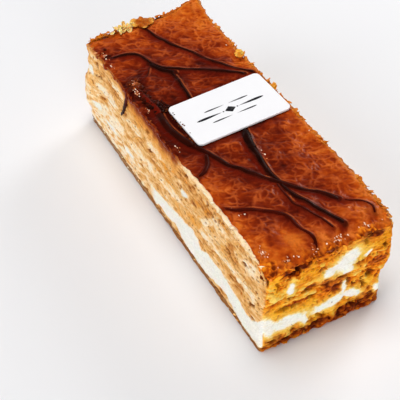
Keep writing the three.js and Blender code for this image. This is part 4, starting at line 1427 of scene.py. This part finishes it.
def inked(outline):
    """A flat printed shape, from its outline on the plaque, as a very thin solid."""
    outline = np.array(outline, float)
    low = on_plaque(outline[:, 0], outline[:, 1], PLAQUE_THICK - 0.01)
    high = on_plaque(outline[:, 0], outline[:, 1], PLAQUE_THICK + INK_THICK)
    return np.vstack([low, high]), closed_faces(2, len(outline)), INK


def diamond(x, y, half_width, half_length):
    return [(x + half_width, y), (x, y + half_length), (x - half_width, y), (x, y - half_length)]


def tapering_rule(x, start, end, half_width):
    """A rule that swells from a point at its start to half_width, and closes again at its end."""
    share = np.linspace(0, 1, 17)[:, None]
    swell = half_width * np.sin(pi * share**0.6)
    run = start + (end - start) * share
    right_side = np.hstack([x + swell, run])
    left_side = np.hstack([x - swell, run])[-2:0:-1]
    outline = np.vstack([right_side, left_side])
    return outline if end > start else outline[::-1]


parts = [inked(diamond(ORNAMENT_X, 0, 1.5, 2.0))]
for way in (-1, 1):
    parts.append(inked(tapering_rule(ORNAMENT_X, 12.4 * way, 3.1 * way, 0.50)))
    parts.append(inked(diamond(ORNAMENT_X, 2.6 * way, 0.35, 0.35)))
    parts.append(inked(tapering_rule(ORNAMENT_X + 2.9, 8.2 * way, 0.8 * way, 0.28)))
    parts.append(inked(tapering_rule(ORNAMENT_X - 2.9, 8.2 * way, 0.8 * way, 0.28)))
ink_finish = painted_finish("ink_finish", dry=0.5, moist=0.5, grain_depth=0.005)
ornament = joined_piece("printed_rules", parts, ink_finish)
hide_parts("plaque")

parts = []
for k in range(CRUMBS):
    px = PLAQUE_X + half_x * (2 * draw.uniform(0, 1) ** 1.6 - 1)
    on_top = draw.uniform(0, 1) < 0.1
    py = PLAQUE_Y - half_y + (draw.uniform(0.0, 0.7) if on_top else -abs(draw.normal(0, 0.5)))
    size = draw.uniform(0.16, 0.38) * draw.uniform(0.7, 1.2, 3)
    height = HEIGHT + GAP + (PLAQUE_THICK if on_top else 0.1)
    dark = mixed_paint(CRUMB_BROWN, CRUMB_BLACK, draw.uniform(0.1, 1))
    parts.append((*lump((px, py, height), size, 900 + k, 5, 7), dark))
crumbs = joined_piece("burnt_crumbs", parts, chocolate_finish, wet=0.3)
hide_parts("top_pastry")
